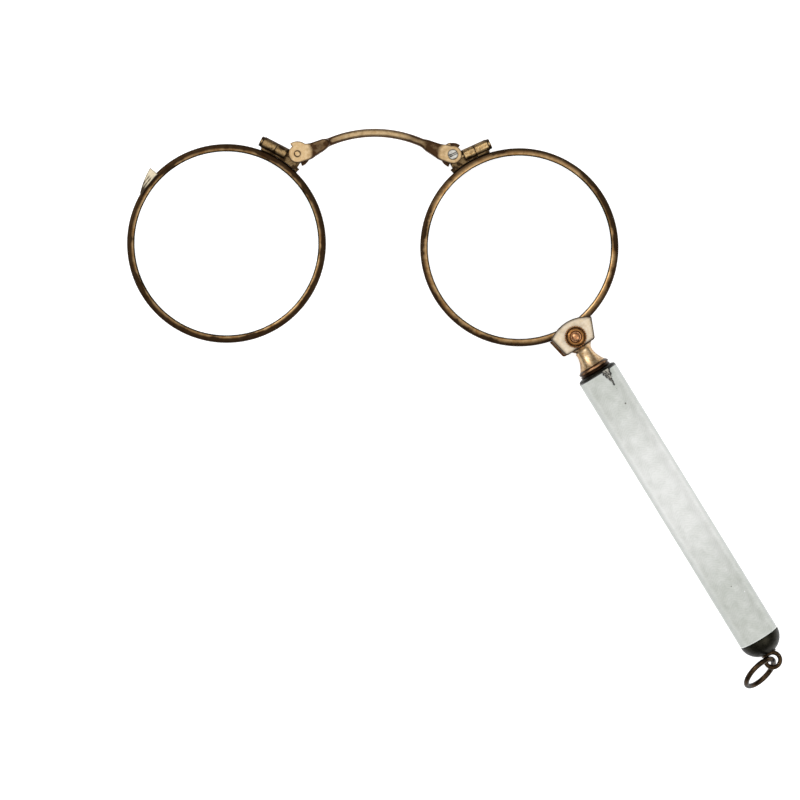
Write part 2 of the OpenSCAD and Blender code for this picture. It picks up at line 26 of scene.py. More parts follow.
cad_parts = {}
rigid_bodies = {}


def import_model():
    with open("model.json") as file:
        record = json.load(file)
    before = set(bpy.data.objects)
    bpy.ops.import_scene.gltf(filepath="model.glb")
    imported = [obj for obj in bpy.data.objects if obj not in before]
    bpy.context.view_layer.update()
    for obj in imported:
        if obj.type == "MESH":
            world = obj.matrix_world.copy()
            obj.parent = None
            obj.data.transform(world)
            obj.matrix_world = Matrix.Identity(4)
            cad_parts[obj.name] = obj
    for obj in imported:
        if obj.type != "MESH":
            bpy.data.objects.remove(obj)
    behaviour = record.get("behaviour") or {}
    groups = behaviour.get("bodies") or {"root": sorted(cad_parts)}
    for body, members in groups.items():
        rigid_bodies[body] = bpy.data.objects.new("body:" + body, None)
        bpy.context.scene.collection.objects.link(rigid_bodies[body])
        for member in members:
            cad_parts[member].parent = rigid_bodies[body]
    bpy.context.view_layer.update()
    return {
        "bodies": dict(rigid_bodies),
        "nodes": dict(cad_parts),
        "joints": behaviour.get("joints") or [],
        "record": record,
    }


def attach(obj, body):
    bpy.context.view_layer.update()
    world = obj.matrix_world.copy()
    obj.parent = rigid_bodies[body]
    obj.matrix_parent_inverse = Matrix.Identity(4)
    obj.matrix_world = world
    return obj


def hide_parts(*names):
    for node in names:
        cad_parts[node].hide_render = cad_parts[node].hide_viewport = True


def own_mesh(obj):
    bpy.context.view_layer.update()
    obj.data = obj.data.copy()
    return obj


LOG = logging.getLogger("lorgnette")
MM = 0.001
FULL_TURN = 2 * math.pi
Range = tuple[float, float]
Profile = Sequence[tuple[float, float]]
Nodes = dict[str, Object]


class Body(Enum):
    """The bodies of the part that a piece can ride on."""

    HANDLE = "right_rim_and_handle"
    BUTTON = "button"
    BRIDGE = "bridge"
    LEFT = "left_rim"
    RING = "ring"


class Side(Enum):
    """The two rims, as the front is seen."""

    RIGHT = "right"
    LEFT = "left"


# Small helpers


def share(part: float, whole: float) -> float:
    """Divides a part by the whole and keeps the result between 0 and 1."""
    return max(0.0, min(1.0, part / whole))


def polar(turn: float, out: float = 1.0, high: float = 0.0) -> Vector:
    """Returns the point at an angle in radians, a distance from Z and a height."""
    return Vector((out * math.cos(turn), out * math.sin(turn), high))


def srgb(code: str) -> tuple[float, float, float, float]:
    """Turns an sRGB hex colour to linear values.

    Args:
        code: six hex digits.

    Returns:
        Linear red, green and blue, and an alpha of one.
    """
    parts = [int(code[i:i + 2], 16) / 255 for i in (0, 2, 4)]
    linear = [p / 12.92 if p <= 0.04045 else ((p + 0.055) / 1.055) ** 2.4 for p in parts]
    return (linear[0], linear[1], linear[2], 1.0)


def add_object(name: str, data: ID) -> Object:
    """Puts a new object with this data in the scene."""
    made = bpy.data.objects.new(name, data)
    bpy.context.scene.collection.objects.link(made)
    return made


def baked(holder: Object) -> Mesh:
    """Returns the mesh that an object's modifiers make, as a mesh of its own."""
    return bpy.data.meshes.new_from_object(holder.evaluated_get(bpy.context.evaluated_depsgraph_get()))


# Places of the design


@dataclass(frozen=True)
class Layout:
    """Sizes that the sub-assemblies share, in millimetres and degrees."""

    lens_r: float = 20.0
    rim_w: float = 1.7
    rim_depth: float = 1.6
    rim_gap: float = 0.7
    pivot_span: float = 33.9
    pivot_reach: float = 3.2
    open_right: float = 35.7
    open_left: float = 38.5
    handle_angle: float = 58.5
    plate_reach: float = 3.9
    plate_z: float = 3.9
    plate_t: float = 1.0
    neck_len: float = 4.8
    collar_len: float = 1.5
    ferrule_len: float = 0.6
    handle_len: float = 67.4
    handle_r: float = 4.6
    cap_len: float = 4.2
    cap_flat_r: float = 1.75
    eyelet_hole_r: float = 1.14
    eyelet_wire: float = 0.96
    eyelet_sunk: float = 0.2
    ring_r: float = 3.92
    ring_wire: float = 1.14
    ring_rest: float = 77.0
    ring_tilt: float = 61.0
    origin: tuple[float, float, float] = (-14.1555, -35.2806, -2.55)

    @cached_property
    def rim_r(self) -> float:
        """Outer radius of a rim."""
        return self.lens_r + self.rim_w

    @cached_property
    def handle_z(self) -> float:
        """Height of the handle's axis."""
        return (self.plate_z + self.plate_t - self.rim_depth / 2) / 2

    @cached_property
    def neck_end(self) -> float:
        """Distance of the neck's foot from the right lens centre."""
        return self.rim_r + self.plate_reach + self.neck_len

    @cached_property
    def enamel_start(self) -> float:
        """Distance of the enamel's near end from the right lens centre."""
        return self.neck_end + self.collar_len + self.ferrule_len

    @cached_property
    def enamel_end(self) -> float:
        """Distance of the enamel's far end from the right lens centre."""
        return self.enamel_start + self.handle_len

    @cached_property
    def cap_flat(self) -> float:
        """Height of the flat on the end cap."""
        return self.cap_len * math.sqrt(1 - (self.cap_flat_r / self.handle_r) ** 2)

    @cached_property
    def eyelet_at(self) -> float:
        """Distance of the eyelet's bore from the right lens centre."""
        return self.enamel_end + self.cap_flat + self.eyelet_hole_r + self.eyelet_wire - self.eyelet_sunk

    @cached_property
    def place(self) -> Matrix:
        """From the design to the part's frame, both in millimetres."""
        return Matrix.Translation([-c for c in self.origin])

    @cached_property
    def handle(self) -> Matrix:
        """Frame of the handle: X runs down the handle from the right lens centre."""
        return self.place @ Matrix.Rotation(math.radians(-self.handle_angle), 4, "Z")

    @cached_property
    def turned(self) -> Matrix:
        """Frame of the handle's turned pieces: Z runs down its axis and Y points at the viewer."""
        quarter = math.radians(90)
        lift = Matrix.Translation((0, 0, self.handle_z))
        return self.handle @ lift @ Matrix.Rotation(quarter, 4, "Z") @ Matrix.Rotation(quarter, 4, "X")

    @cached_property
    def pivot_r(self) -> float:
        """Distance from a lens centre to its pivot."""
        return self.rim_r + self.pivot_reach

    @cached_property
    def right_pivot(self) -> Vector:
        """The pivot of the right rim."""
        turn = math.radians(self.open_right)
        return Vector((-self.pivot_r * math.sin(turn), self.pivot_r * math.cos(turn), 0))

    @cached_property
    def left_pivot(self) -> Vector:
        """The pivot of the left rim, in its higher layer."""
        return self.right_pivot + Vector((-self.pivot_span, 0, self.rim_depth + self.rim_gap))

    @cached_property
    def left_centre(self) -> Vector:
        """The centre of the left lens."""
        turn = math.radians(self.open_left)
        return self.left_pivot - self.pivot_r * Vector((math.sin(turn), math.cos(turn), 0))

    def rim(self, side: Side) -> Matrix:
        """Frame of a rim, with its pivot straight above its lens centre.

        Args:
            side: which rim.

        Returns:
            The frame in millimetres.
        """
        if side is Side.RIGHT:
            return self.place @ Matrix.Rotation(math.radians(self.open_right), 4, "Z")
        turn = Matrix.Rotation(math.radians(-self.open_left), 4, "Z")
        mirror = Matrix.Diagonal((-1, 1, 1, 1))
        return self.place @ Matrix.Translation(self.left_centre) @ turn @ mirror

    @cached_property
    def ring(self) -> Matrix:
        """Frame of the end ring, with its axis along Z."""
        turn = math.radians(-self.handle_angle - self.ring_rest)
        down = math.radians(self.handle_angle)
        centre = polar(-down, self.eyelet_at, self.handle_z) + polar(turn, self.ring_r)
        lean = Matrix.Rotation(math.radians(self.ring_tilt), 4, "X")
        face = Matrix.Rotation(turn + math.pi, 4, "Z")
        return self.place @ Matrix.Translation(centre) @ face @ lean


# Node trees


class Graph:
    """A node tree, with a short call for each kind of node that repeats."""

    def __init__(self, tree: NodeTree) -> None:
        """Takes over a tree and empties it.

        Args:
            tree: the tree.
        """
        self.tree = tree
        tree.nodes.clear()

    def add(self, kind: str, inputs: dict[str | int, Any] | None = None, **settings: Any) -> NodeOutputs:
        """Adds a node.

        Args:
            kind: Blender's name for the node.
            inputs: values or other nodes' outputs, or a list of outputs, by socket name or number.
            **settings: attributes to set on the node.

        Returns:
            The node's outputs.
        """
        made = self.tree.nodes.new(kind)
        for key, value in settings.items():
            setattr(made, key, value)
        for key, value in (inputs or {}).items():
            for part in value if isinstance(value, list) else [value]:
                if isinstance(part, Socket):
                    self.tree.links.new(part, made.inputs[key])
                else:
                    made.inputs[key].default_value = part
        return made.outputs

    def place(self) -> Socket:
        """Returns the place on the piece, in metres."""
        return self.add("ShaderNodeTexCoord")["Object"]

    def noise(self, place: Socket, **inputs: float) -> Socket:
        """Adds a noise texture with the inputs given by name, and returns its value."""
        return self.add("ShaderNodeTexNoise", {"Vector": place, **inputs})["Fac"]

    def calc(self, kind: str, *values: Socket | float) -> Socket:
        """Adds one sum on sockets or numbers, and returns its result."""
        return self.add("ShaderNodeMath", dict(enumerate(values)), operation=kind)["Value"]

    def apart(self, value: Socket, other: float) -> Socket:
        """Returns how far a value lies from a number."""
        return self.calc("ABSOLUTE", self.calc("SUBTRACT", value, other))

    def wave(self, value: Socket, length: float) -> Socket:
        """Returns the sine of a value, with one wave in each length."""
        return self.calc("SINE", self.calc("MULTIPLY", value, FULL_TURN / length))

    def vary(self, value: Socket, noise: Socket, gain: float, middle: float = 0.5) -> Socket:
        """Adds a noise, taken about its middle, to a value."""
        return self.calc("MULTIPLY_ADD", self.calc("SUBTRACT", noise, middle), gain, value)

    def remap(self, value: Socket, source: Range, target: Range = (0.0, 1.0), smooth: bool = False) -> Socket:
        """Maps a value from one range to another and keeps it in the second.

        Args:
            value: the value to map.
            source: the range that it comes from.
            target: what the ends of that range become.
            smooth: whether both ends are eased.

        Returns:
            The mapped value.
        """
        return self.add("ShaderNodeMapRange", {
            "Value": value, "From Min": source[0], "From Max": source[1], "To Min": target[0],
            "To Max": target[1]}, interpolation_type="SMOOTHSTEP" if smooth else "LINEAR")["Result"]

    def mix(self, part: Socket, low: Socket | str, high: Socket | str) -> Socket:
        """Mixes two colours, each of them a socket or a hex colour."""
        low, high = (srgb(colour) if isinstance(colour, str) else colour for colour in (low, high))
        return self.add("ShaderNodeMix", {0: part, 6: low, 7: high}, data_type="RGBA")[2]

    def bump(self, height: Socket, strength: float, distance: float) -> Socket:
        """Turns a height into a normal, with the distance in millimetres."""
        return self.add("ShaderNodeBump", {
            "Strength": strength, "Distance": distance * MM, "Height": height})["Normal"]


# Finishes


@dataclass(frozen=True)
class Finish:
    """A procedural material that is built once, under its own name."""

    name: str

    def material(self) -> Material:
        """Returns the material, and builds it at the first call."""
        made = bpy.data.materials.get(self.name)
        if not made:
            made = bpy.data.materials.new(self.name)
            made.use_nodes = True
            graph = Graph(made.node_tree)
            shader = graph.add("ShaderNodeBsdfPrincipled", self.look(graph))
            graph.add("ShaderNodeOutputMaterial", {"Surface": shader["BSDF"]})
        return made

    def look(self, graph: Graph) -> dict[str, Any]:
        """Adds the nodes of the look, and returns the inputs of its Principled shader."""
        raise NotImplementedError


@dataclass(frozen=True)
class AgedMetal(Finish):
    """A polished or satin metal, darker in its patches and wherever the piece's own marks say.

    The colours are base metal, its lighter streaks, and the dark tone of its patina and painted shade.
    Grain is the real size of a patch in millimetres. Edge and hollow say how much the edges and the
    hollows that the piece's own attributes mark darken: patina there, and painted shade on the sides
    and in the hollows. Dull is the roughness where the metal is fully darkened.
    """

    base: str
    light: str
    patina_and_shade: str
    grain: float = 2.0
    patches: float = 0.3
    edge: float = 0.0
    hollow: float = 0.0
    roughness: float = 0.3
    dull: float = 0.5
    fine_grain: float = 0.22
    streak_rise: Range = (0.3, 0.78)
    patch_rise: Range = (0.46, 0.68)
    most_patina_and_shade: float = 0.96
    relief: float = 0.004

    def look(self, graph: Graph) -> dict[str, Any]:
        """Adds streaked metal under its patina and painted shade."""
        place = graph.place()
        broad = graph.noise(place, Scale=1 / (self.grain * MM), Detail=4.0, Roughness=0.6)
        fine_size = self.fine_grain * self.grain * MM
        fine = graph.noise(place, Scale=1 / fine_size, Detail=5.0, Roughness=0.65)
        metal = graph.mix(graph.remap(fine, self.streak_rise), self.base, self.light)
        total = graph.remap(broad, self.patch_rise, (0.0, self.patches), smooth=True)
        # The edge and hollow marks darken the metal: patina, with painted shade on the sides and in the
        # hollows
        for mark, amount in (("edge", self.edge), ("hollow", self.hollow)):
            if amount:
                read = graph.add("ShaderNodeAttribute", attribute_name=mark)["Fac"]
                total = graph.calc("MULTIPLY_ADD", read, amount, total)
        part = graph.calc("MINIMUM", total, self.most_patina_and_shade)
        return {
            "Base Color": graph.mix(part, metal, self.patina_and_shade), "Metallic": 1.0,
            "Roughness": graph.remap(part, (0.0, 1.0), (self.roughness, self.dull)),
            "Normal": graph.bump(fine, 0.5, self.relief)}


@dataclass(frozen=True)
class TurnedEnamel(Finish):
    """Fired translucent enamel over an engine-turned tube: glassy, with waves seen through it.

    Places are in millimetres, along the handle from the right lens centre and round it from
    the line nearest to the viewer. A speck is its place round and along, its size and colour.
    The enamel has a painted highlight about the middle of the handle and painted shade down its sides.
    """

    name: str = "engine_turned_enamel"
    pale: str = "f1f2ef"
    deep: str = "c3c7bf"
    shade: str = "9aa09b"
    chip: str = "b4b0a2"
    crack: str = "141310"
    lip: str = "e4e8e3"
    wave_len: float = 4.4
    wave_high: float = 1.3
    line_gap: float = 0.62
    line_tone: float = 0.05
    line_relief: float = 0.03
    cross_tone: float = 0.09
    cloud_tone: float = 0.5
    veil_tone: float = 0.75
    painted_highlight_at: float = 62.0
    painted_highlight_fall: Range = (4.0, 28.0)
    painted_highlight_tones: Range = (0.86, 0.16)
    radius: float = 4.6
    side_rise: Range = (0.74, 1.0)
    side_shade: float = 0.85
    near_lip: Range = (32.82, 32.72)
    far_lip: Range = (99.64, 99.7)
    chip_at: float = -1.7
    chip_start: float = 32.4
    chip_half: float = 1.6
    chip_taper: float = 0.2976
    chip_tear: float = 1.9
    chip_rise: Range = (0.3, 0.5)
    rim_fall: Range = (0.3, 0.05)
    hatch_slope: float = 0.35
    hatch_gap: float = 0.5236
    hatch_tone: float = 0.34
    dirt_gain: float = 7.0
    dirt_middle: float = 0.43
    specks: tuple[tuple[float, float, float, str], ...] = (
        (-1.63, 41.0, 0.24, "4c4a42"), (-0.4, 86.8, 0.16, "6a6a62"), (-2.41, 89.3, 0.18, "ffffff"))

    def look(self, graph: Graph) -> dict[str, Any]:
        """Adds the enamel over its waves, with its chip. It reads the UV map, in millimetres."""
        place = graph.add("ShaderNodeUVMap", uv_map="UVMap")["UV"]
        split = graph.add("ShaderNodeSeparateXYZ", {"Vector": place})
        around, along = split["X"], split["Y"]
        swing = graph.wave(around, self.wave_len)
        lift = graph.calc("MULTIPLY_ADD", swing, self.wave_high / 2, along)
        lines = graph.wave(lift, self.line_gap)
        cross = graph.calc("MULTIPLY", graph.wave(lift, self.wave_len), swing)
        # Painted highlight: the enamel is paler about the middle of the handle and deeper towards its ends
        tone = graph.remap(graph.apart(along, self.painted_highlight_at), self.painted_highlight_fall, self.painted_highlight_tones, smooth=True)
        tone = graph.calc("MULTIPLY_ADD", lines, self.line_tone, tone)
        tone = graph.calc("MULTIPLY_ADD", cross, self.cross_tone, tone)
        tone = graph.vary(tone, graph.noise(place, Scale=0.35, Detail=3.0), self.cloud_tone)
        veil = graph.noise(place, Scale=0.8, Detail=5.0, Roughness=0.62, Distortion=1.6)
        enamel = graph.mix(graph.vary(tone, veil, self.veil_tone), self.deep, self.pale)
        # Painted shade: the enamel darkens towards both sides of the handle, where it turns away from the
        # light above
        turn = graph.calc("ABSOLUTE", graph.calc("SINE", graph.calc("DIVIDE", around, self.radius)))
        side = graph.remap(turn, self.side_rise, (0.0, self.side_shade), smooth=True)
        enamel = graph.mix(side, enamel, self.shade)
        enamel = graph.mix(graph.remap(along, self.far_lip), enamel, self.lip)
        enamel = graph.mix(graph.remap(along, self.near_lip), enamel, self.crack)
        for turned, down, size, colour in self.specks:
            spot = {0: place, 1: (turned, down, 0.0)}
            gap = graph.add("ShaderNodeVectorMath", spot, operation="DISTANCE")["Value"]
            enamel = graph.mix(graph.remap(gap, (size, size / 2)), enamel, colour)
        ragged = graph.noise(place, Scale=1.7, Detail=4.0, Roughness=0.7)
        down = graph.calc("SUBTRACT", along, self.chip_start)
        half = graph.calc("MULTIPLY_ADD", down, -self.chip_taper, self.chip_half)
        inside = graph.calc("SUBTRACT", half, graph.apart(around, self.chip_at))
        torn = graph.vary(inside, ragged, self.chip_tear)
        chip = graph.remap(torn, self.chip_rise)
        rim = graph.remap(graph.apart(torn, self.chip_rise[1]), self.rim_fall)
        hatch = graph.wave(graph.calc("MULTIPLY_ADD", down, self.hatch_slope, around), self.hatch_gap)
        dark = graph.vary(rim, ragged, self.dirt_gain, self.dirt_middle)
        dark = graph.calc("MULTIPLY_ADD", hatch, self.hatch_tone, dark)
        height = graph.calc("SUBTRACT", graph.calc("MULTIPLY", lines, self.line_relief), chip)
        return {
            "Base Color": graph.mix(chip, enamel, graph.mix(dark, self.chip, self.crack)),
            "Roughness": graph.remap(chip, (0.0, 1.0), (0.34, 0.6)), "IOR": 1.52,
            "Coat Weight": 0.35, "Coat Roughness": 0.06, "Normal": graph.bump(height, 0.6, 0.2)}


@dataclass(frozen=True)
class LensGlass(Finish):
    """Polished crown glass: clear, with a faint grey tint in its thick edge."""

    name: str = "crown_glass"
    tint: str = "fbfdfd"
    smear: float = 6.0
    haze: float = 0.03

    def look(self, graph: Graph) -> dict[str, Any]:
        """Adds clear glass with faint smears."""
        smears = graph.noise(graph.place(), Scale=1 / (self.smear * MM), Detail=2.0)
        return {
            "Base Color": srgb(self.tint), "Roughness": graph.remap(smears, (0.0, 1.0), (0.0, self.haze)),
            "IOR": 1.5, "Transmission Weight": 1.0}


@dataclass(frozen=True)
class Paper(Finish):
    """Matt white sweep under the part, with a glow that keeps it white in the picture."""

    name: str = "paper_sweep"
    shade: str = "fbfbfb"
    glow: float = 0.7

    def look(self, graph: Graph) -> dict[str, Any]:
        """Says how matt and bright the paper is."""
        return {
            "Base Color": srgb(self.shade), "Roughness": 0.9, "Emission Color": srgb("ffffff"),
            "Emission Strength": self.glow}


# Rolled gold with a painted highlight along its inner shoulder, and nearly black patina with painted shade on
# the outer side
RIM_GOLD = AgedMetal("worn_rolled_gold", "a67640", "f0cc98", "1c0e06", grain=6.0, patches=0.62,
                     edge=1.0, hollow=0.5, roughness=0.26, dull=0.42)
# Drawn tube with painted shade down its sides, which leaves a bright line along its top, dark solder round
# its foot and painted shade on its tongue
BLOCK_GOLD = AgedMetal("drawn_tube_gold", "b0803e", "f4dcac", "1e1006", grain=1.4, patches=0.55,
                       edge=0.95, hollow=0.95, roughness=0.17, dull=0.4)
# Cast and filed gold alloy, satin on the ears, browned in the throat of each fork, with painted shadow below
# each front ear and painted shade on the sides of the bar
BRIDGE_GOLD = AgedMetal("filed_gold_alloy", "c8a472", "ead0a6", "351c0a", grain=2.6, patches=0.26,
                        edge=0.95, hollow=1.0, roughness=0.34, dull=0.45)
# Stamped plate, satin and nearly clean, darker along its outline, with painted shade on its sides
PLATE_GOLD = AgedMetal("satin_stamped_gold", "dfc9a6", "f2e6d4", "2a180a", grain=2.2, patches=0.2,
                       edge=1.0, hollow=0.4, roughness=0.36)
# Turned and burnished neck, with painted shade down its sides that leaves a soft highlight down its middle
NECK_GOLD = AgedMetal("burnished_gold", "b0844e", "f4e0bc", "482608", grain=2.4, patches=0.2,
                      edge=0.6, hollow=0.85, dull=0.45)
# Knurled ring, with patina and painted shade in the grooves beside its bright teeth
BEZEL_GILT = AgedMetal("knurled_gilt_brass", "8a4e1c", "d8a468", "2a1204", grain=0.8, patches=0.4,
                       hollow=1.0, roughness=0.26)
# Thin gilding on copper, rubbed by the thumb
BUTTON_GILT = AgedMetal("rubbed_gilt_copper", "9a5218", "eec094", "5a2a0a", grain=1.4, roughness=0.24,
                        dull=0.4)
# Pale filed wedge, darker along its outline, with painted shade on its sides and its thin end
TAB_METAL = AgedMetal("filed_pale_gold", "d6c6a6", "eee4cc", "2c1e12", grain=1.6, patches=0.25,
                      edge=0.95, hollow=0.9, roughness=0.36)
# Nearly black bronze that shows brown where it is rubbed, with painted shade on its sides
DARK_BRONZE = AgedMetal("blackened_bronze", "211810", "5e4a34", "090604", grain=1.4, patches=0.8,
                        edge=1.0, hollow=0.6, roughness=0.24, dull=0.42)
# Turned ring with painted shade on all but the tops of its ridges, which leaves a rosy line on each
COLLAR_BRONZE = AgedMetal("browned_bronze", "9c6c46", "d8ac84", "170b06", grain=5.0, patches=0.2,
                          edge=0.92, hollow=0.95, roughness=0.2, dull=0.36)
# Silver blackened by sulphur, dull and slightly green, with painted shade on its sides
BLACK_SILVER = AgedMetal("sulphur_blackened_silver", "191916", "3a372c", "090908", grain=0.8,
                         patches=0.6, edge=0.7, hollow=0.5, roughness=0.36)
# Turned screw head, bright, with painted shade on its sides and patina and painted shade in its slot
PALE_STEEL = AgedMetal("turned_steel", "c8c4ba", "f4f2ea", "231c14", grain=0.7, patches=0.5,
                       edge=0.9, hollow=1.0, roughness=0.22)
# Hardened spring steel, blued by tempering
BLUE_STEEL = AgedMetal("blued_spring_steel", "3c4458", "66708a", "1a1c24", grain=1.0)
# Drawn rod, plain and grey
HIDDEN_STEEL = AgedMetal("drawn_steel_rod", "8f8c86", "b5b1a8", "4c463c")
# Silver tube cut by the turning engine
TUBE_METAL = AgedMetal("engine_turned_silver", "b6b0a0", "dcd8cc", "7c7466")


# Meshes


def show(name: str, mesh: Mesh, finish: Finish, body: Body) -> Object:
    """Puts a finished mesh in the scene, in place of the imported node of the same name.

    Args:
        name: name of the piece and of its node.
        mesh: mesh in metres, in the part's frame.
        finish: its finish.
        body: the body that it rides on.

    Returns:
        The piece.
    """
    piece = add_object(name + "_finished", mesh)
    mesh.materials.clear()
    mesh.materials.append(finish.material())
    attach(piece, body.value)
    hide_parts(name)
    LOG.info("%s: %d faces, rides on %s", name, len(mesh.polygons), body.value)
    return piece


def settle(mesh: Mesh, frame: Matrix, sharp: float = 35.0) -> Mesh:
    """Moves a mesh from millimetres in its own frame to metres in the part's.

    Args:
        mesh: the mesh to move.
        frame: the frame that it was built in, in millimetres.
        sharp: edges that turn by more than this many degrees stay crisp.

    Returns:
        The same mesh, shaded smooth between its sharp edges.
    """
    mesh.transform(Matrix.Scale(MM, 4) @ frame)
    if frame.determinant() < 0:
        mesh.flip_normals()
    mesh.shade_smooth()
    mesh.set_sharp_from_angle(angle=math.radians(sharp))
    return mesh


def soften(corners: Profile, cut: float = 0.06, closed: bool = True) -> list[tuple[float, float]]:
    """Rounds the corners of a turned profile with three points each.

    Args:
        corners: the corners in order.
        cut: how far from each corner the rounding starts.
        closed: whether the last corner joins the first.

    Returns:
        The rounded profile.
    """
    points = [Vector(c) for c in corners]
    count = len(points)
    out: list[tuple[float, float]] = []
    for i, point in enumerate(points):
        if not closed and i in (0, count - 1):
            out.append(tuple(point))
            continue
        before, after = points[i - 1] - point, points[(i + 1) % count] - point
        reach = min(cut, 0.4 * before.length, 0.4 * after.length)
        first, last = point + before.normalized() * reach, point + after.normalized() * reach
        out += [tuple(first), tuple((first + last) / 4 + point / 2), tuple(last)]
    return out


def lathe(name: str, profile: Profile, steps: int = 96, closed: bool = True) -> Mesh:
    """Turns a profile of radius and height about Z.

    Args:
        name: name of the mesh.
        profile: radius and height of each point, going round the section.
        steps: how many faces go round.
        closed: whether the last point joins the first.

    Returns:
        A mesh in millimetres with a UV map of arc length at the largest radius, and height.
    """
    work = bmesh.new()
    uv = work.loops.layers.uv.new("UVMap")
    girth = FULL_TURN * max(r for r, _ in profile)
    turns = [FULL_TURN * i / steps for i in range(steps)]
    rings = [[work.verts.new(polar(turn, r, z)) for r, z in profile] for turn in turns]
    for i in range(steps):
        near, far = rings[i], rings[(i + 1) % steps]
        for j in range(len(profile) if closed else len(profile) - 1):
            k = (j + 1) % len(profile)
            if profile[j][0] < 1e-6 and profile[k][0] < 1e-6:
                continue
            face = work.faces.new((near[j], far[j], far[k], near[k]))
            for loop, (turn, at) in zip(face.loops, ((i, j), (i + 1, j), (i + 1, k), (i, k))):
                loop[uv].uv = (girth * (turn / steps - 0.25), profile[at][1])
    bmesh.ops.remove_doubles(work, verts=work.verts, dist=1e-5)
    bmesh.ops.recalc_face_normals(work, faces=work.faces)
    mesh = bpy.data.meshes.new(name)
    work.to_mesh(mesh)
    work.free()
    return mesh


def write_marks(mesh: Mesh, **marks: Sequence[float]) -> None:
    """Writes marks that a finish reads.

    Args:
        mesh: the piece.
        **marks: a value for each of its points, under the name of the mark.
    """
    for name, values in marks.items():
        mesh.attributes.new(name, "FLOAT", "POINT").data.foreach_set("value", values)


def add_darkening(mesh: Mesh, extra: Callable[[MeshVertex], float]) -> None:
    """Adds darkening to the hollow marks of a piece.

    Args:
        mesh: the piece in metres, with its marks.
        extra: says how much a point gets.
    """
    for point, mark in zip(mesh.vertices, mesh.attributes["hollow"].data):
        mark.value = min(1.0, mark.value + extra(point))


def mark_side_shade(mesh: Mesh, strength: float = 1.0, level: float = 0.78) -> Mesh:
    """Marks the sides of a piece with painted shade, which darkens the faces that lean away from straight up.

    Args:
        mesh: the piece in the part's frame.
        strength: the mark on an upright wall.
        level: how level a face is, as the height of its normal, where the painted shade starts.

    Returns:
        The same mesh with edge and hollow marks.
    """
    sides = [strength * share(level - abs(v.normal.z), 0.5) for v in mesh.vertices]
    write_marks(mesh, edge=sides, hollow=[0.0] * len(sides))
    return mesh


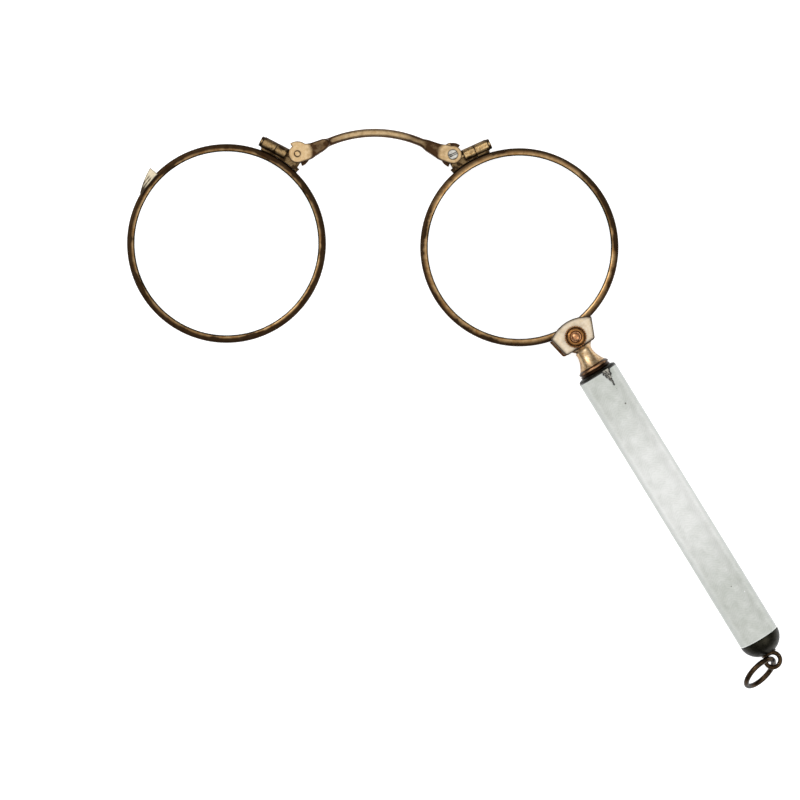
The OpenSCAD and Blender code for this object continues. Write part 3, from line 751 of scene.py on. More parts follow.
@dataclass
class Casting:
    """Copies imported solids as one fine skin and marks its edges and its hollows.

    Each cone of feelers is its lean from the normal in degrees and how many feelers it has.
    """

    voxel: float = 0.09
    edge_width: float = 0.2
    reach: float = 1.4
    # Painted shade on the sides of a skin: how strong it is, and how level a face is where it starts
    flank_shade: float = 0.85
    level: float = 0.8
    smooth: int = 2
    weld: float = 2e-4
    crisp_angle: float = 35.0
    crisp_step: float = 0.08
    far_off: float = 9.0
    gain: float = 1.6
    file_strokes: int = 160
    cones: tuple[tuple[float, int], ...] = ((25, 3), (60, 5))

    def crisp_points(self, work: bmesh.types.BMesh) -> KDTree | None:
        """Finds points along the sharp outer edges of a solid.

        Args:
            work: the solid in millimetres, with its points joined.

        Returns:
            A search tree of the points, or None for a solid without sharp edges.
        """
        crisp = math.radians(self.crisp_angle)
        places: list[Vector] = []
        for edge in work.edges:
            if len(edge.link_faces) == 2 and edge.calc_face_angle_signed(0) > crisp:
                first, last = (v.co for v in edge.verts)
                parts = max(1, int((last - first).length / self.crisp_step))
                places += [first.lerp(last, i / parts) for i in range(parts + 1)]
        if not places:
            return None
        found = KDTree(len(places))
        for i, place in enumerate(places):
            found.insert(place, i)
        found.balance()
        return found

    def skin(self, name: str, nodes: Nodes, near: Sequence[str],
             worn: Callable[[Vector], float] | None = None) -> Mesh:
        """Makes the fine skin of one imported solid.

        Args:
            name: the node to copy.
            nodes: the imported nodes.
            near: nodes that close its hollows.
            worn: says for a point, in the part's millimetres, how much it is filed round.

        Returns:
            The skin in metres, in the part's frame, with edge and hollow marks.
        """
        to_mm = Matrix.Scale(1 / MM, 4)
        work = bmesh.new()
        work.from_mesh(nodes[name].data)
        bmesh.ops.transform(work, matrix=to_mm, verts=work.verts)
        bmesh.ops.remove_doubles(work, verts=work.verts, dist=self.weld)
        work.normal_update()
        crisp = self.crisp_points(work)
        plain = bpy.data.meshes.new(name + "_plain")
        work.to_mesh(plain)
        work.clear()
        for solid in dict.fromkeys((name, *near)):
            work.from_mesh(nodes[solid].data)
        bmesh.ops.transform(work, matrix=to_mm, verts=work.verts)
        walls = BVHTree.FromBMesh(work)
        work.free()
        rough = add_object(name + "_rough", plain)
        remesh = rough.modifiers.new("Remesh", "REMESH")
        remesh.mode = "VOXEL"
        remesh.voxel_size = self.voxel
        rough.modifiers.new("Relax", "SMOOTH").iterations = self.smooth
        if worn:
            rough.data = baked(rough)
            rough.modifiers.clear()
            filed = rough.vertex_groups.new(name="filed")
            for point in rough.data.vertices:
                filed.add([point.index], worn(point.co), "REPLACE")
            file_round = rough.modifiers.new("File", "SMOOTH")
            file_round.vertex_group = filed.name
            file_round.iterations = self.file_strokes
        mesh = baked(rough)
        bpy.data.objects.remove(rough)
        bpy.data.meshes.remove(plain)
        mesh.name = name
        self.mark(mesh, crisp, walls)
        mesh.transform(Matrix.Scale(MM, 4))
        mesh.shade_smooth()
        return mesh

    def mark(self, mesh: Mesh, crisp: KDTree | None, walls: BVHTree) -> None:
        """Writes the edge and hollow marks of a skin.

        Args:
            mesh: the skin in millimetres.
            crisp: points on the sharp outer edges.
            walls: the solids that close its hollows.
        """
        feelers = []
        for degrees, count in self.cones:
            lean = math.radians(degrees)
            feelers += [polar(FULL_TURN * (i + degrees / 90) / count, math.sin(lean), math.cos(lean))
                        for i in range(count)]
        edge, hollow = [], []
        for point in mesh.vertices:
            gap = crisp.find(point.co)[2] if crisp else self.far_off
            # Painted shade: faces that lean away from straight up turn darker
            side = self.flank_shade * share(self.level - abs(point.normal.z), 0.5)
            edge.append(max(math.exp(-(gap / self.edge_width) ** 2), side))
            # Feelers that hit nearby walls darken the point: patina and painted shade in the hollows
            face = point.normal.to_track_quat("Z", "Y").to_matrix()
            start = point.co + point.normal * (1.2 * self.voxel)
            lengths = [walls.ray_cast(start, face @ feeler, self.reach)[3] for feeler in feelers]
            hits = sum(1 - length / self.reach for length in lengths if length is not None)
            hollow.append(min(1.0, self.gain * hits / len(feelers)))
        write_marks(mesh, edge=edge, hollow=hollow)


class GrowthTree(Graph):
    """Geometry tree that adds what it grows to the mesh that comes in, and coats both."""

    label = ""
    sockets: dict[str, str] = {}

    def __init__(self) -> None:
        """Builds the tree with its named inputs."""
        super().__init__(bpy.data.node_groups.new(self.label, "GeometryNodeTree"))
        face = self.tree.interface
        face.new_socket("Geometry", in_out="OUTPUT", socket_type="NodeSocketGeometry")
        for label, kind in {"Geometry": "Geometry", **self.sockets, "Finish": "Material"}.items():
            face.new_socket(label, in_out="INPUT", socket_type="NodeSocket" + kind)
        given = self.add("NodeGroupInput")
        both = self.add("GeometryNodeJoinGeometry", {"Geometry": [given["Geometry"], self.grown(given)]})
        real = self.add("GeometryNodeRealizeInstances", {"Geometry": both["Geometry"]})
        coat = self.add("GeometryNodeSetMaterial", {
            "Geometry": real["Geometry"], "Material": given["Finish"]})
        self.add("NodeGroupOutput", {"Geometry": coat["Geometry"]})

    def grown(self, given: NodeOutputs) -> Socket:
        """Adds the nodes that grow the geometry, and returns their result."""
        raise NotImplementedError

    def grow(self, name: str, sizes: dict[str, Any], base: Mesh | None = None) -> Mesh:
        """Runs the tree and returns its result as a plain mesh.

        Args:
            name: name of the mesh.
            sizes: a value for each named input.
            base: a mesh that goes in at the tree's geometry input.

        Returns:
            The result, in the tree's own units.
        """
        holder = add_object(name + "_holder", base or bpy.data.meshes.new(name + "_base"))
        modifier = holder.modifiers.new("Grow", "NODES")
        modifier.node_group = self.tree
        for item in self.tree.interface.items_tree:
            if item.item_type == "SOCKET" and item.in_out == "INPUT" and item.name in sizes:
                modifier[item.identifier] = sizes[item.name]
        mesh = baked(holder)
        mesh.name = name
        bpy.data.objects.remove(holder)
        return mesh


class SweepTree(GrowthTree):
    """Geometry tree that sweeps a rounded section round an arc or a full circle."""

    label = "rounded_section_on_arc"
    sockets = dict.fromkeys(("Radius", "Width", "Depth", "Fillet", "Start", "Sweep"), "Float") | {
        "Closed": "Bool", "Steps": "Int"}

    def grown(self, given: NodeOutputs) -> Socket:
        """Adds the nodes that sweep the section.

        Args:
            given: the tree's inputs.

        Returns:
            The swept mesh.
        """
        size = {"Resolution": given["Steps"], "Radius": given["Radius"]}
        turned = {**size, "Start Angle": given["Start"], "Sweep Angle": given["Sweep"]}
        arc = self.add("GeometryNodeCurveArc", turned, mode="RADIUS")
        circle = self.add("GeometryNodeCurvePrimitiveCircle", size, mode="RADIUS")
        either = {"Switch": given["Closed"], "False": arc["Curve"], "True": circle["Curve"]}
        path = self.add("GeometryNodeSwitch", either, input_type="GEOMETRY")
        block = self.add("GeometryNodeCurvePrimitiveQuadrilateral", {
            "Width": given["Width"], "Height": given["Depth"]}, mode="RECTANGLE")
        section = self.add("GeometryNodeFilletCurve", {
            "Curve": block["Curve"], "Count": 6, "Radius": given["Fillet"]}, mode="POLY")
        return self.add("GeometryNodeCurveToMesh", {
            "Curve": path["Output"], "Profile Curve": section["Curve"], "Fill Caps": True})["Mesh"]


class TeethTree(GrowthTree):
    """Geometry tree that sets rounded teeth round a turned ring."""

    label = "teeth_round_ring"
    sockets = {"Teeth": "Int"} | dict.fromkeys(("Pitch Radius", "Tooth Radius", "Height"), "Float")

    def grown(self, given: NodeOutputs) -> Socket:
        """Adds the nodes that set the teeth.

        Args:
            given: the tree's inputs.

        Returns:
            The teeth as instances.
        """
        spots = self.add("GeometryNodeMeshCircle", {
            "Vertices": given["Teeth"], "Radius": given["Pitch Radius"]})
        tooth = self.add("GeometryNodeMeshUVSphere", {
            "Segments": 14, "Rings": 10, "Radius": given["Tooth Radius"]})
        half = self.calc("MULTIPLY", given["Height"], 0.5)
        tall = self.calc("DIVIDE", half, given["Tooth Radius"])
        size = self.add("ShaderNodeCombineXYZ", {"X": 1.0, "Y": 1.0, "Z": tall})["Vector"]
        lift = self.add("ShaderNodeCombineXYZ", {"Z": half})["Vector"]
        raised = self.add("GeometryNodeTransform", {"Geometry": spots["Mesh"], "Translation": lift})
        return self.add("GeometryNodeInstanceOnPoints", {
            "Points": raised["Geometry"], "Instance": tooth["Mesh"], "Scale": size})["Instances"]


# Sub-assemblies


@dataclass
class Rim:
    """One rim with its lens, its closing barrel and screw, in the layer of its side.

    Each stop is a place across the rim, from -1 at the lens to 1 outside, and how dark it is:
    patina, with painted shade on both flanks and a painted highlight on the inner shoulder.
    """

    layout: Layout
    nodes: Nodes
    side: Side
    sweep: SweepTree
    casting: Casting
    fillet: float = 0.6
    split_angle: float = 11.1
    split_gap: float = 0.1
    drawn_in: float = 0.08
    barrel_r: float = 1.3
    barrel_off: float = 0.3
    tongue_half: float = 0.66
    solder_dark_and_tongue_shade: float = 0.75
    lens_t: float = 1.5
    lens_edge_t: float = 0.9
    lens_land: float = 0.04
    lens_inset: float = 0.1
    lens_steps: int = 24
    groove: float = 0.44
    steps: int = 360
    patina_and_shade_stops: Profile = (
        (-1.0, 0.92), (-0.82, 0.85), (-0.64, 0.0), (-0.42, 0.0), (-0.16, 0.62), (0.1, 0.76), (1.0, 0.96))

    @property
    def body(self) -> Body:
        """The body that this rim belongs to."""
        return Body.HANDLE if self.side is Side.RIGHT else Body.LEFT

    @property
    def tarnish(self) -> float:
        """Patina all over: the left rim is the darker one."""
        return 0.75 if self.side is Side.LEFT else 0.15

    def eye_wire(self) -> None:
        """Builds the split wire with its patina, painted shade and painted highlight."""
        name = self.side.value + "_eye_wire"
        half_w = self.layout.rim_w / 2
        middle = self.layout.rim_r - half_w
        half_gap = self.split_gap / 2 / middle
        mesh = self.sweep.grow(name, {
            "Radius": middle, "Width": self.layout.rim_w, "Depth": self.layout.rim_depth,
            "Fillet": self.fillet, "Start": math.radians(90 - self.split_angle) + half_gap,
            "Sweep": FULL_TURN - 2 * half_gap + self.drawn_in / middle, "Closed": False,
            "Steps": self.steps, "Finish": RIM_GOLD.material()})
        # Patina with painted shade on both flanks, and a painted highlight band on the inner shoulder
        across = [(point.co.xy.length - middle) / half_w for point in mesh.vertices]
        edge = np.interp(across, *zip(*self.patina_and_shade_stops)).tolist()
        write_marks(mesh, edge=edge, hollow=[self.tarnish] * len(edge))
        show(name, settle(mesh, self.layout.rim(self.side), 50), RIM_GOLD, self.body)

    def lens(self) -> None:
        """Builds the domed lens with its bevelled edge."""
        face_r = self.layout.lens_r - self.lens_inset
        crown = (self.lens_t - self.lens_edge_t) / 2
        parts = [i / self.lens_steps for i in range(self.lens_steps + 1)]
        front = [(face_r * part, self.lens_edge_t / 2 + crown * (1 - part ** 2)) for part in parts]
        rim = self.layout.lens_r + self.groove
        back = [(r, -z) for r, z in reversed(front)]
        profile = [*front, (rim, self.lens_land), (rim, -self.lens_land), *back]
        name = self.side.value + "_lens"
        mesh = settle(lathe(name, profile, 128, False), self.layout.rim(self.side), 20)
        show(name, mesh, LensGlass(), self.body)

    def brown_tongue(self, mesh: Mesh) -> None:
        """Darkens the solder beside the barrel, and paints shade on the flat tongue in the hollow under the
        bridge's ears.

        Args:
            mesh: one of the barrel's pieces in metres, with its marks.
        """
        to_rim = self.layout.rim(self.side).inverted()
        axis_r = self.layout.rim_r + self.barrel_off + self.barrel_r
        out = polar(math.radians(90 - self.split_angle)).xy

        def extra(point: MeshVertex) -> float:
            """Says how much patina a point gets."""
            place = to_rim @ (point.co / MM)
            off = abs(place.xy.dot(out) - axis_r)
            solder = off > 0.2 and math.hypot(off, place.z) < self.barrel_r - 0.12
            tongue = off > 0.5 and abs(place.z) < self.tongue_half
            # Dark solder, and painted shade on the tongue; elsewhere half the rim's patina
            return self.solder_dark_and_tongue_shade if solder or tongue else self.tarnish / 2

        add_darkening(mesh, extra)

    def barrel(self) -> None:
        """Dresses the closing barrel's halves and its screw, drawn in as far as it is tightened."""
        slots = {"_closing_block_outer": "block_gold", "_closing_block_inner": "block_gold",
                 "_closing_screw": "screw_metal"}
        names = [self.side.value + end for end in (*slots, "_eye_wire")]
        along = polar(math.radians(180 - self.split_angle), self.drawn_in * MM)
        tightened = Matrix.Translation(self.layout.rim(self.side).to_3x3() @ along)
        for name, slot in zip(names, slots.values()):
            mesh = self.casting.skin(name, self.nodes, names)
            self.brown_tongue(mesh)
            if not name.endswith("inner"):
                mesh.transform(tightened)
            show(name, mesh, BLOCK_GOLD, self.body)

    def build(self) -> None:
        """Builds the whole rim."""
        self.eye_wire()
        self.lens()
        self.barrel()


@dataclass
class CatchTab:
    """The wedge on the left rim that the catch holds.

    The slots are distances outside the rim. The other places are shares of the wedge's length.
    """

    layout: Layout
    nodes: Nodes
    casting: Casting
    slots: tuple[float, ...] = (-0.05, 0.5)
    slot_w: float = 0.12
    lined_from: float = 0.2
    lined_rise: float = 0.15
    dark_from: float = 0.5
    dark_rise: float = 0.3

    def brown(self, mesh: Mesh) -> None:
        """Darkens the wedge's thin end with painted shade, and two lines along the rim.

        Args:
            mesh: the wedge in metres, with its marks.
        """
        centre = self.layout.place @ self.layout.left_centre

        def around(point: MeshVertex) -> tuple[float, float]:
            """Returns a point's angle round the lens and its distance outside the rim."""
            place = (point.co / MM - centre).xy
            return math.atan2(place.y, place.x) % FULL_TURN, place.length - self.layout.rim_r

        turns = [around(point)[0] for point in mesh.vertices]
        low, high = min(turns), max(turns)

        def extra(point: MeshVertex) -> float:
            """Says how much patina a point gets."""
            turn, out = around(point)
            along = (turn - low) / (high - low)
            line = max(math.exp(-((out - slot) / self.slot_w) ** 2) for slot in self.slots)
            # Painted shade on the thin end of the wedge
            dark = 0.9 * share(along - self.dark_from, self.dark_rise)
            return dark + 0.95 * line * share(along - self.lined_from, self.lined_rise)

        add_darkening(mesh, extra)

    def build(self) -> None:
        """Builds the wedge."""
        mesh = self.casting.skin("catch_tab", self.nodes, ["left_eye_wire"])
        self.brown(mesh)
        show("catch_tab", mesh, TAB_METAL, Body.LEFT)


@dataclass
class BridgeWork:
    """The bridge with its two pivots. Reaches are distances from the nearer pivot."""

    layout: Layout
    nodes: Nodes
    front_ear: float = 0.5
    ear_reach: float = 2.7
    file_rise: float = 1.2
    throat_rise: float = 0.8
    throat_reach: float = 5.5
    throat_fall: float = 7.0
    throat_brown: float = 0.82
    bar_brown: float = 0.16
    bar_rub: float = 0.6
    # Painted shade on the sides of the bar: how level a face is where it starts, and how fast it grows
    flank_shade_from: float = 0.97
    flank_shade_rise: float = 0.42

    def nearest(self, point: Vector) -> tuple[float, float]:
        """Says how far the nearer pivot lies from a point, and how high.

        Args:
            point: a point in the part's frame, in millimetres.

        Returns:
            The distance seen from the front, and the height of the pivot's layer.
        """
        pivots = (self.layout.right_pivot, self.layout.left_pivot)
        placed = [self.layout.place @ pivot for pivot in pivots]
        return min(((point.xy - pivot.xy).length, pivot.z) for pivot in placed)

    def worn(self, point: Vector) -> float:
        """Says how much a point is filed round: nothing on the ears, all of it on the bar."""
        return share(self.nearest(point)[0] - self.ear_reach, self.file_rise)

    def brown(self, mesh: Mesh) -> None:
        """Darkens the throats and the bar: patina in the throats, painted shade on the sides of the bar and
        painted shadow below each front ear.

        Args:
            mesh: the bridge in metres, with its marks.
        """
        marks = mesh.attributes
        for point, edge, hollow in zip(mesh.vertices, marks["edge"].data, marks["hollow"].data):
            place = point.co / MM
            reach, layer = self.nearest(place)
            bar = self.worn(place)
            # Painted shade on the sides of the bar
            flank_shade = share(self.flank_shade_from - abs(point.normal.z), self.flank_shade_rise)
            edge.value += bar * max(0.0, flank_shade - edge.value)
            hollow.value *= 1 - self.bar_rub * bar
            # Painted shadow: near a pivot, all that lies lower than the front ear turns fully dark
            if bar < 0.5 and place.z < layer + self.front_ear:
                hollow.value = 1.0
            fall = share(reach - self.throat_reach, self.throat_fall)
            brown = (1 - fall) * self.throat_brown + fall * self.bar_brown
            rise = share(reach - self.ear_reach, self.throat_rise)
            hollow.value = min(1.0, hollow.value + rise * brown)

    def build(self) -> None:
        """Builds the bridge and the pivots."""
        near = ("right_closing_block_inner", "left_closing_block_inner", "right_pivot_screw",
                "left_pivot_rivet")
        mesh = Casting().skin("bridge", self.nodes, near, self.worn)
        self.brown(mesh)
        show("bridge", mesh, BRIDGE_GOLD, Body.BRIDGE)
        fine = Casting(voxel=0.05, edge_width=0.16, reach=0.5)
        for name, finish, slot in (("right_pivot_screw", PALE_STEEL, "plain_steel"),
                                   ("left_pivot_rivet", BRIDGE_GOLD, "screw_metal")):
            show(name, fine.skin(name, self.nodes, ["bridge"]), finish, Body.BRIDGE)


@dataclass
class ReleaseHead:
    """The housing on the right rim with its front plate, bezel and button."""

    layout: Layout
    nodes: Nodes
    teeth: TeethTree
    plate_outline: float = 0.4
    plate_brown: float = 0.9
    button_out: float = 1.4
    button_r: float = 1.15
    button_play: float = 0.04
    dome_h: float = 0.6
    dome_steps: int = 8
    skirt: float = 0.18
    skirt_h: float = 0.25
    wall: float = 0.2
    roof: float = 0.5
    cone_r: float = 0.25
    cone_cut: Range = (0.1, 0.12)
    bezel_r: float = 2.4
    bezel_h: float = 0.85
    bezel_step: float = 0.25
    bezel_foot: float = 0.36
    bezel_crest: float = 0.4
    bezel_bore: float = 0.24
    bezel_bore_h: float = 0.32
    bezel_teeth: int = 28
    tooth_r: float = 0.23

    @property
    def knob(self) -> Matrix:
        """Frame of the button and the bezel, on top of the front plate."""
        top = self.layout.plate_z + self.layout.plate_t
        return self.layout.handle @ Matrix.Translation((self.layout.rim_r + self.button_out, 0, top))

    def castings(self) -> None:
        """Builds the housing and the front plate."""
        names = ("release_housing", "front_plate", "button_bezel", "right_eye_wire", "collar")
        kinds = ((NECK_GOLD, "neck_gold", Casting()),
                 (PLATE_GOLD, "plate_gold", Casting(edge_width=self.plate_outline)))
        for name, (finish, slot, casting) in zip(names, kinds):
            mesh = casting.skin(name, self.nodes, names)
            if finish is NECK_GOLD:
                self.brown_plates(mesh)
            show(name, mesh, finish, Body.HANDLE)

    def brown_plates(self, mesh: Mesh) -> None:
        """Darkens the back plate and the pillar, up to the end of the plates.

        Args:
            mesh: the housing in metres, with its marks.
        """
        to_handle = self.layout.handle.inverted()
        end = self.layout.rim_r + self.layout.plate_reach + 0.3
        add_darkening(mesh, lambda v: self.plate_brown * share(end - (to_handle @ (v.co / MM)).x, 0.4))

    def bezel(self) -> None:
        """Builds the milled ring: a turned ring with teeth set round it."""
        top = self.bezel_h
        wall = top - self.bezel_step
        foot = self.bezel_r - self.bezel_foot
        bore, lip = self.button_r + self.bezel_bore, self.button_r + self.button_play
        profile = soften([
            (bore, 0), (foot, 0), (foot, wall - 0.2), (foot - 0.14, wall),
            (self.button_r + self.bezel_crest, top), (lip, top - 0.12), (lip, self.bezel_bore_h),
            (bore, self.bezel_bore_h)], 0.08)
        mesh = self.teeth.grow("button_bezel", {
            "Teeth": self.bezel_teeth, "Pitch Radius": self.bezel_r - self.tooth_r,
            "Tooth Radius": self.tooth_r, "Height": wall, "Finish": BEZEL_GILT.material()},
            lathe("bezel_ring", profile))
        # Patina and painted shade in the groove inside the teeth and in the gap round the button
        gaps = ((foot - 0.06, 0.12), (lip, 0.16))
        write_marks(mesh, hollow=[max(math.exp(-((v.co.xy.length - at) / wide) ** 2) for at, wide in gaps)
                                  for v in mesh.vertices])
        show("button_bezel", settle(mesh, self.knob), BEZEL_GILT, Body.HANDLE)

    def button(self) -> None:
        """Builds the domed button with its skirt and cone."""
        r, wall = self.button_r, self.button_r - self.wall
        sphere_r = (r ** 2 + self.dome_h ** 2) / 2 / self.dome_h
        middle = self.bezel_h + self.dome_h - sphere_r
        outs = [r * i / self.dome_steps for i in range(self.dome_steps + 1)]
        skirt, tip = r + self.skirt, 0.03 - self.layout.plate_t
        cut, rise = self.cone_cut
        profile = [(out, middle + math.sqrt(sphere_r ** 2 - out ** 2)) for out in outs] + [
            (r, self.skirt_h + 0.02), (skirt, self.skirt_h), (skirt, 0.0), (wall, 0.0), (wall, self.roof),
            (self.cone_r, self.roof), (self.cone_r, tip + rise), (self.cone_r - cut, tip), (0, tip)]
        mesh = settle(lathe("release_button", profile, 64, False), self.knob)
        show("release_button", mesh, BUTTON_GILT, Body.BUTTON)

    def build(self) -> None:
        """Builds the whole head."""
        self.castings()
        self.bezel()
        self.button()


@dataclass
class Handle:
    """The turned handle: collar, ferrule, enamel, end cap and eyelet.

    Steps of the collar and the ferrule are how far they lie inside the radius, and how far along.
    """

    layout: Layout
    sweep: SweepTree
    spigot_r: float = 1.62
    collar_r: float = 3.6
    collar_steps: Profile = (
        (0.4, 0.0), (0.0, 0.35), (0.0, 0.7), (0.2, 0.8), (0.2, 1.0), (0.0, 1.1), (0.1, 1.5))
    collar_dark: float = 0.78
    ferrule_steps: Profile = ((0.75, 0.0), (0.3, 0.2), (0.05, 0.5), (0.05, 0.6))
    bore_r: float = 3.38
    enamel_t: float = 0.5
    enamel_steps: int = 60
    lip: Range = (0.1, 0.03)
    plug_len: float = 2.0
    cap_bore: float = 1.02
    cap_steps: int = 24
    stem_r: float = 0.92
    stem_len: float = 2.0
    foot_r: float = 0.9
    foot_len: float = 1.9
    foot_h: Range = (0.35, 0.42)

    def turn(self, name: str, profile: Profile, finish: Finish, slot: str, steps: int = 128,
             level: float = 0.78, dark_from: float | None = None) -> None:
        """Turns one piece about the handle's axis and shows it.

        Args:
            name: the piece and the node that it stands for.
            profile: its section, with distances from the right lens centre.
            finish: its finish.
            slot: the record's material slot; not used.
            steps: how many faces go round.
            level: how level a face is where its painted shade starts.
            dark_from: distance from the right lens centre where the piece turns dark.
        """
        # Painted shade on the sides of the turned piece
        mesh = mark_side_shade(settle(lathe(name, profile, steps), self.layout.turned), 1.0, level)
        if dark_from:
            to_handle = self.layout.handle.inverted()
            add_darkening(mesh, lambda v: float((to_handle @ (v.co / MM)).x > dark_from))
        show(name, mesh, finish, Body.HANDLE)

    def collar(self) -> None:
        """Builds the collar, with painted shade on all but the tops of its ridges, which leaves a bright line
        there.
        """
        near = self.layout.neck_end
        steps = [(self.collar_r - inside, near + along) for inside, along in self.collar_steps]
        profile = soften([(self.spigot_r, near), *steps, (self.spigot_r, near + self.layout.collar_len)])
        self.turn("collar", profile, COLLAR_BRONZE, "dark_bronze", level=0.99,
                  dark_from=near + self.collar_dark)

    def ferrule(self) -> None:
        """Builds the metal end under the enamel's edge."""
        start = self.layout.enamel_start
        near, plug = start - self.layout.ferrule_len, start + self.plug_len
        steps = [(self.layout.handle_r - inside, near + along) for inside, along in self.ferrule_steps]
        inner = [(self.bore_r, start), (self.bore_r, plug), (self.spigot_r, plug)]
        profile = soften([(self.spigot_r, near), *steps, *inner])
        self.turn("handle_ferrule", profile, BLACK_SILVER, "oxidised_silver")

    def enamel(self) -> None:
        """Builds the enamel sleeve with slightly rounded ends."""
        start, end, r = self.layout.enamel_start, self.layout.enamel_end, self.layout.handle_r
        inner, (cut, edge) = r - self.enamel_t, self.lip
        step = (end - start) / self.enamel_steps
        profile = [(inner, start), (r - cut, start), (r - edge, start + edge)]
        profile += [(r, start + step * i) for i in range(1, self.enamel_steps)]
        profile += [(r - edge, end - edge), (r - cut, end), (inner, end)]
        self.turn("enamel_sleeve", profile, TurnedEnamel(), "enamel", 160)

    def cap(self) -> None:
        """Builds the dark dome."""
        base, r = self.layout.enamel_end, self.layout.handle_r
        top, plug = base + self.layout.cap_flat, base - self.plug_len
        parts = [(i / self.cap_steps) ** 2 for i in range(self.cap_steps + 1)]
        outs = [r - (r - self.layout.cap_flat_r) * part for part in parts]
        profile = [(self.cap_bore, plug), (self.bore_r, plug), (self.bore_r, base)]
        profile += [(out, base + self.layout.cap_len * math.sqrt(1 - (out / r) ** 2)) for out in outs]
        profile += [(self.stem_r, top), (self.stem_r, top - self.stem_len),
                    (self.cap_bore, top - self.stem_len - 0.01)]
        self.turn("end_cap", profile, BLACK_SILVER, "oxidised_silver")

    def eyelet(self) -> None:
        """Builds the eyelet: a round loop on a turned foot."""
        wire, flat_r = self.layout.eyelet_wire, self.layout.cap_flat_r
        base = self.layout.enamel_end + self.layout.cap_flat
        low, (side, middle) = base - self.foot_len, self.foot_h
        foot = lathe("eyelet_foot", soften([
            (0, low), (self.foot_r, low), (self.foot_r, base), (flat_r, base), (flat_r, base + side),
            (0, base + middle)], 0.08, False), 48, False)
        loop = self.layout.handle @ Matrix.Translation((self.layout.eyelet_at, 0, self.layout.handle_z))
        foot.transform(loop.inverted() @ self.layout.turned)
        mesh = self.sweep.grow("eyelet", round_wire(self.layout.eyelet_hole_r + wire / 2, wire, 72), foot)
        # Painted shade on the sides of the eyelet
        show("eyelet", mark_side_shade(settle(mesh, loop), 0.8), DARK_BRONZE, Body.HANDLE)

    def build(self) -> None:
        """Builds the whole handle."""
        self.collar()
        self.ferrule()
        self.enamel()
        self.cap()
        self.eyelet()


def round_wire(radius: float, wire: float, steps: int) -> dict[str, Any]:
    """Returns the sizes of a closed ring of round bronze wire.

    Args:
        radius: radius of the ring's middle line.
        wire: thickness of the wire.
        steps: how many faces go round.

    Returns:
        The inputs of the sweep.
    """
    return {"Radius": radius, "Width": wire, "Depth": wire, "Fillet": wire / 2.001, "Closed": True,
            "Steps": steps, "Finish": DARK_BRONZE.material()}


@dataclass
class EndRing:
    """The loose ring in the eyelet."""

    layout: Layout
    sweep: SweepTree

    def build(self) -> None:
        """Builds the ring."""
        mesh = self.sweep.grow("chain_ring", round_wire(self.layout.ring_r, self.layout.ring_wire, 128))
        # Painted shade on the sides of the ring
        mesh = mark_side_shade(settle(mesh, self.layout.ring), 0.8)
        show("chain_ring", mesh, DARK_BRONZE, Body.RING)


@dataclass
class InnerPieces:
    """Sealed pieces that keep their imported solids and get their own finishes."""

    nodes: Nodes
    press: float = 0.7

    def button_coil(self) -> None:
        """Shows the button's coil, on a mesh of its own."""
        name = "button_spring"
        piece = show(name, self.nodes[name].data.copy(), BLUE_STEEL, Body.HANDLE)
        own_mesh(piece)

    def build(self) -> None:
        """Dresses the springs, the tube and the rod."""
        self.button_coil()
        finishes = {
            "catch_spring": BLUE_STEEL, "left_hinge_spring": BLUE_STEEL, "right_hinge_spring": BLUE_STEEL,
            "handle_tube": TUBE_METAL, "tie_rod": HIDDEN_STEEL}
        for name, finish in finishes.items():
            mesh = self.nodes[name].data
            mesh.materials.clear()
            mesh.materials.append(finish.material())
            LOG.info("%s: packed solid with %s", name, finish.name)


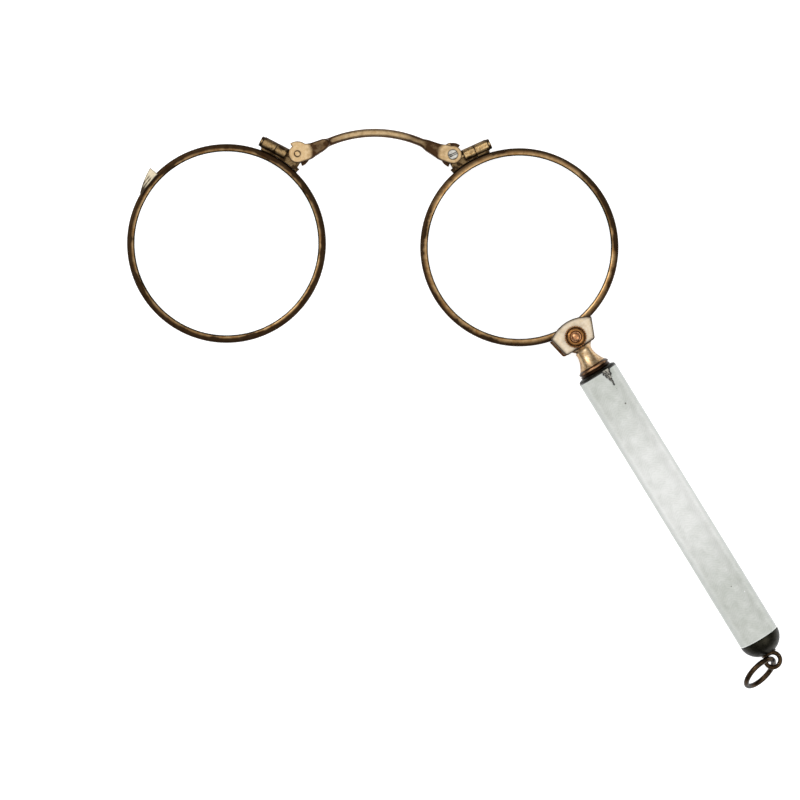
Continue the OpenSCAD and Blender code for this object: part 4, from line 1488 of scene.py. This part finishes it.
@dataclass
class Studio:
    """Camera, floor and light of the photograph. Its own sizes are in metres."""

    layout: Layout
    camera_high: float = 0.704
    field: float = 0.17467
    field_at: float = 0.7
    sensor: float = 36.0
    aim: tuple[float, float] = (-26.1, -33.4)
    floor_half: float = 2.5
    floor_z: float = -0.0002
    sky_rise: Range = (0.3, 0.97)
    sky_light: Range = (0.2, 0.98)
    lamp_size: float = 0.7
    lamp_aim: tuple[float, float, float] = (0.01, 0.02, 0.0)
    lamps: tuple[tuple[str, tuple[float, float, float], float], ...] = (
        ("key", (-0.6, 0.5, 0.8), 4.0), ("fill", (0.7, -0.4, 0.9), 2.0))

    def camera(self) -> None:
        """Sets the camera straight above the part, as the photograph was taken."""
        data = bpy.data.cameras.new("camera")
        data.sensor_width = self.sensor
        data.lens = self.sensor * self.field_at / self.field
        data.clip_start, data.clip_end = 0.01, 20
        at = self.layout.place @ Vector((*self.aim, 0)) * MM
        camera = add_object("camera", data)
        camera.location = (at.x, at.y, self.camera_high)
        bpy.context.scene.camera = camera

    def floor(self) -> None:
        """Lays a wide white sweep under the part."""
        mesh = bpy.data.meshes.new("floor")
        work = bmesh.new()
        bmesh.ops.create_grid(work, x_segments=8, y_segments=8, size=self.floor_half)
        work.to_mesh(mesh)
        work.free()
        mesh.materials.append(Paper().material())
        floor = add_object("floor", mesh)
        floor.location.z = self.floor_z

    def light(self) -> None:
        """Lights the part with a large soft box above and a dimmer surround."""
        world = bpy.data.worlds.new("studio")
        world.use_nodes = True
        graph = Graph(world.node_tree)
        view = graph.add("ShaderNodeTexCoord")["Generated"]
        high = graph.add("ShaderNodeSeparateXYZ", {"Vector": view})["Z"]
        level = graph.remap(high, self.sky_rise, self.sky_light, smooth=True)
        sky = graph.add("ShaderNodeBackground", {"Color": srgb("ffffff"), "Strength": level})
        graph.add("ShaderNodeOutputWorld", {"Surface": sky["Background"]})
        bpy.context.scene.world = world
        for name, place, power in self.lamps:
            data = bpy.data.lights.new(name, "AREA")
            data.size, data.energy = self.lamp_size, power
            lamp = add_object(name, data)
            lamp.location = place
            beam = Vector(self.lamp_aim) - Vector(place)
            lamp.rotation_euler = beam.to_track_quat("-Z", "Y").to_euler()

    def build(self) -> None:
        """Sets up the camera, the floor and the light."""
        self.camera()
        self.floor()
        self.light()
        bpy.context.scene.view_settings.view_transform = "Standard"


def main() -> None:
    """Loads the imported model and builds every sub-assembly on it."""
    logging.basicConfig(level=logging.INFO, format="%(name)s: %(message)s")
    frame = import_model()
    nodes: Nodes = frame["nodes"]
    layout = Layout()
    Studio(layout).build()
    sweep = SweepTree()
    small = Casting(voxel=0.055, edge_width=0.1, reach=1.0, flank_shade=0.9, level=1.0, smooth=1)
    for side in Side:
        Rim(layout, nodes, side, sweep, small).build()
    CatchTab(layout, nodes, Casting(voxel=0.06, edge_width=0.14, reach=0.8)).build()
    BridgeWork(layout, nodes).build()
    ReleaseHead(layout, nodes, TeethTree()).build()
    Handle(layout, sweep).build()
    EndRing(layout, sweep).build()
    InnerPieces(nodes).build()


if __name__ == "__main__":
    main()
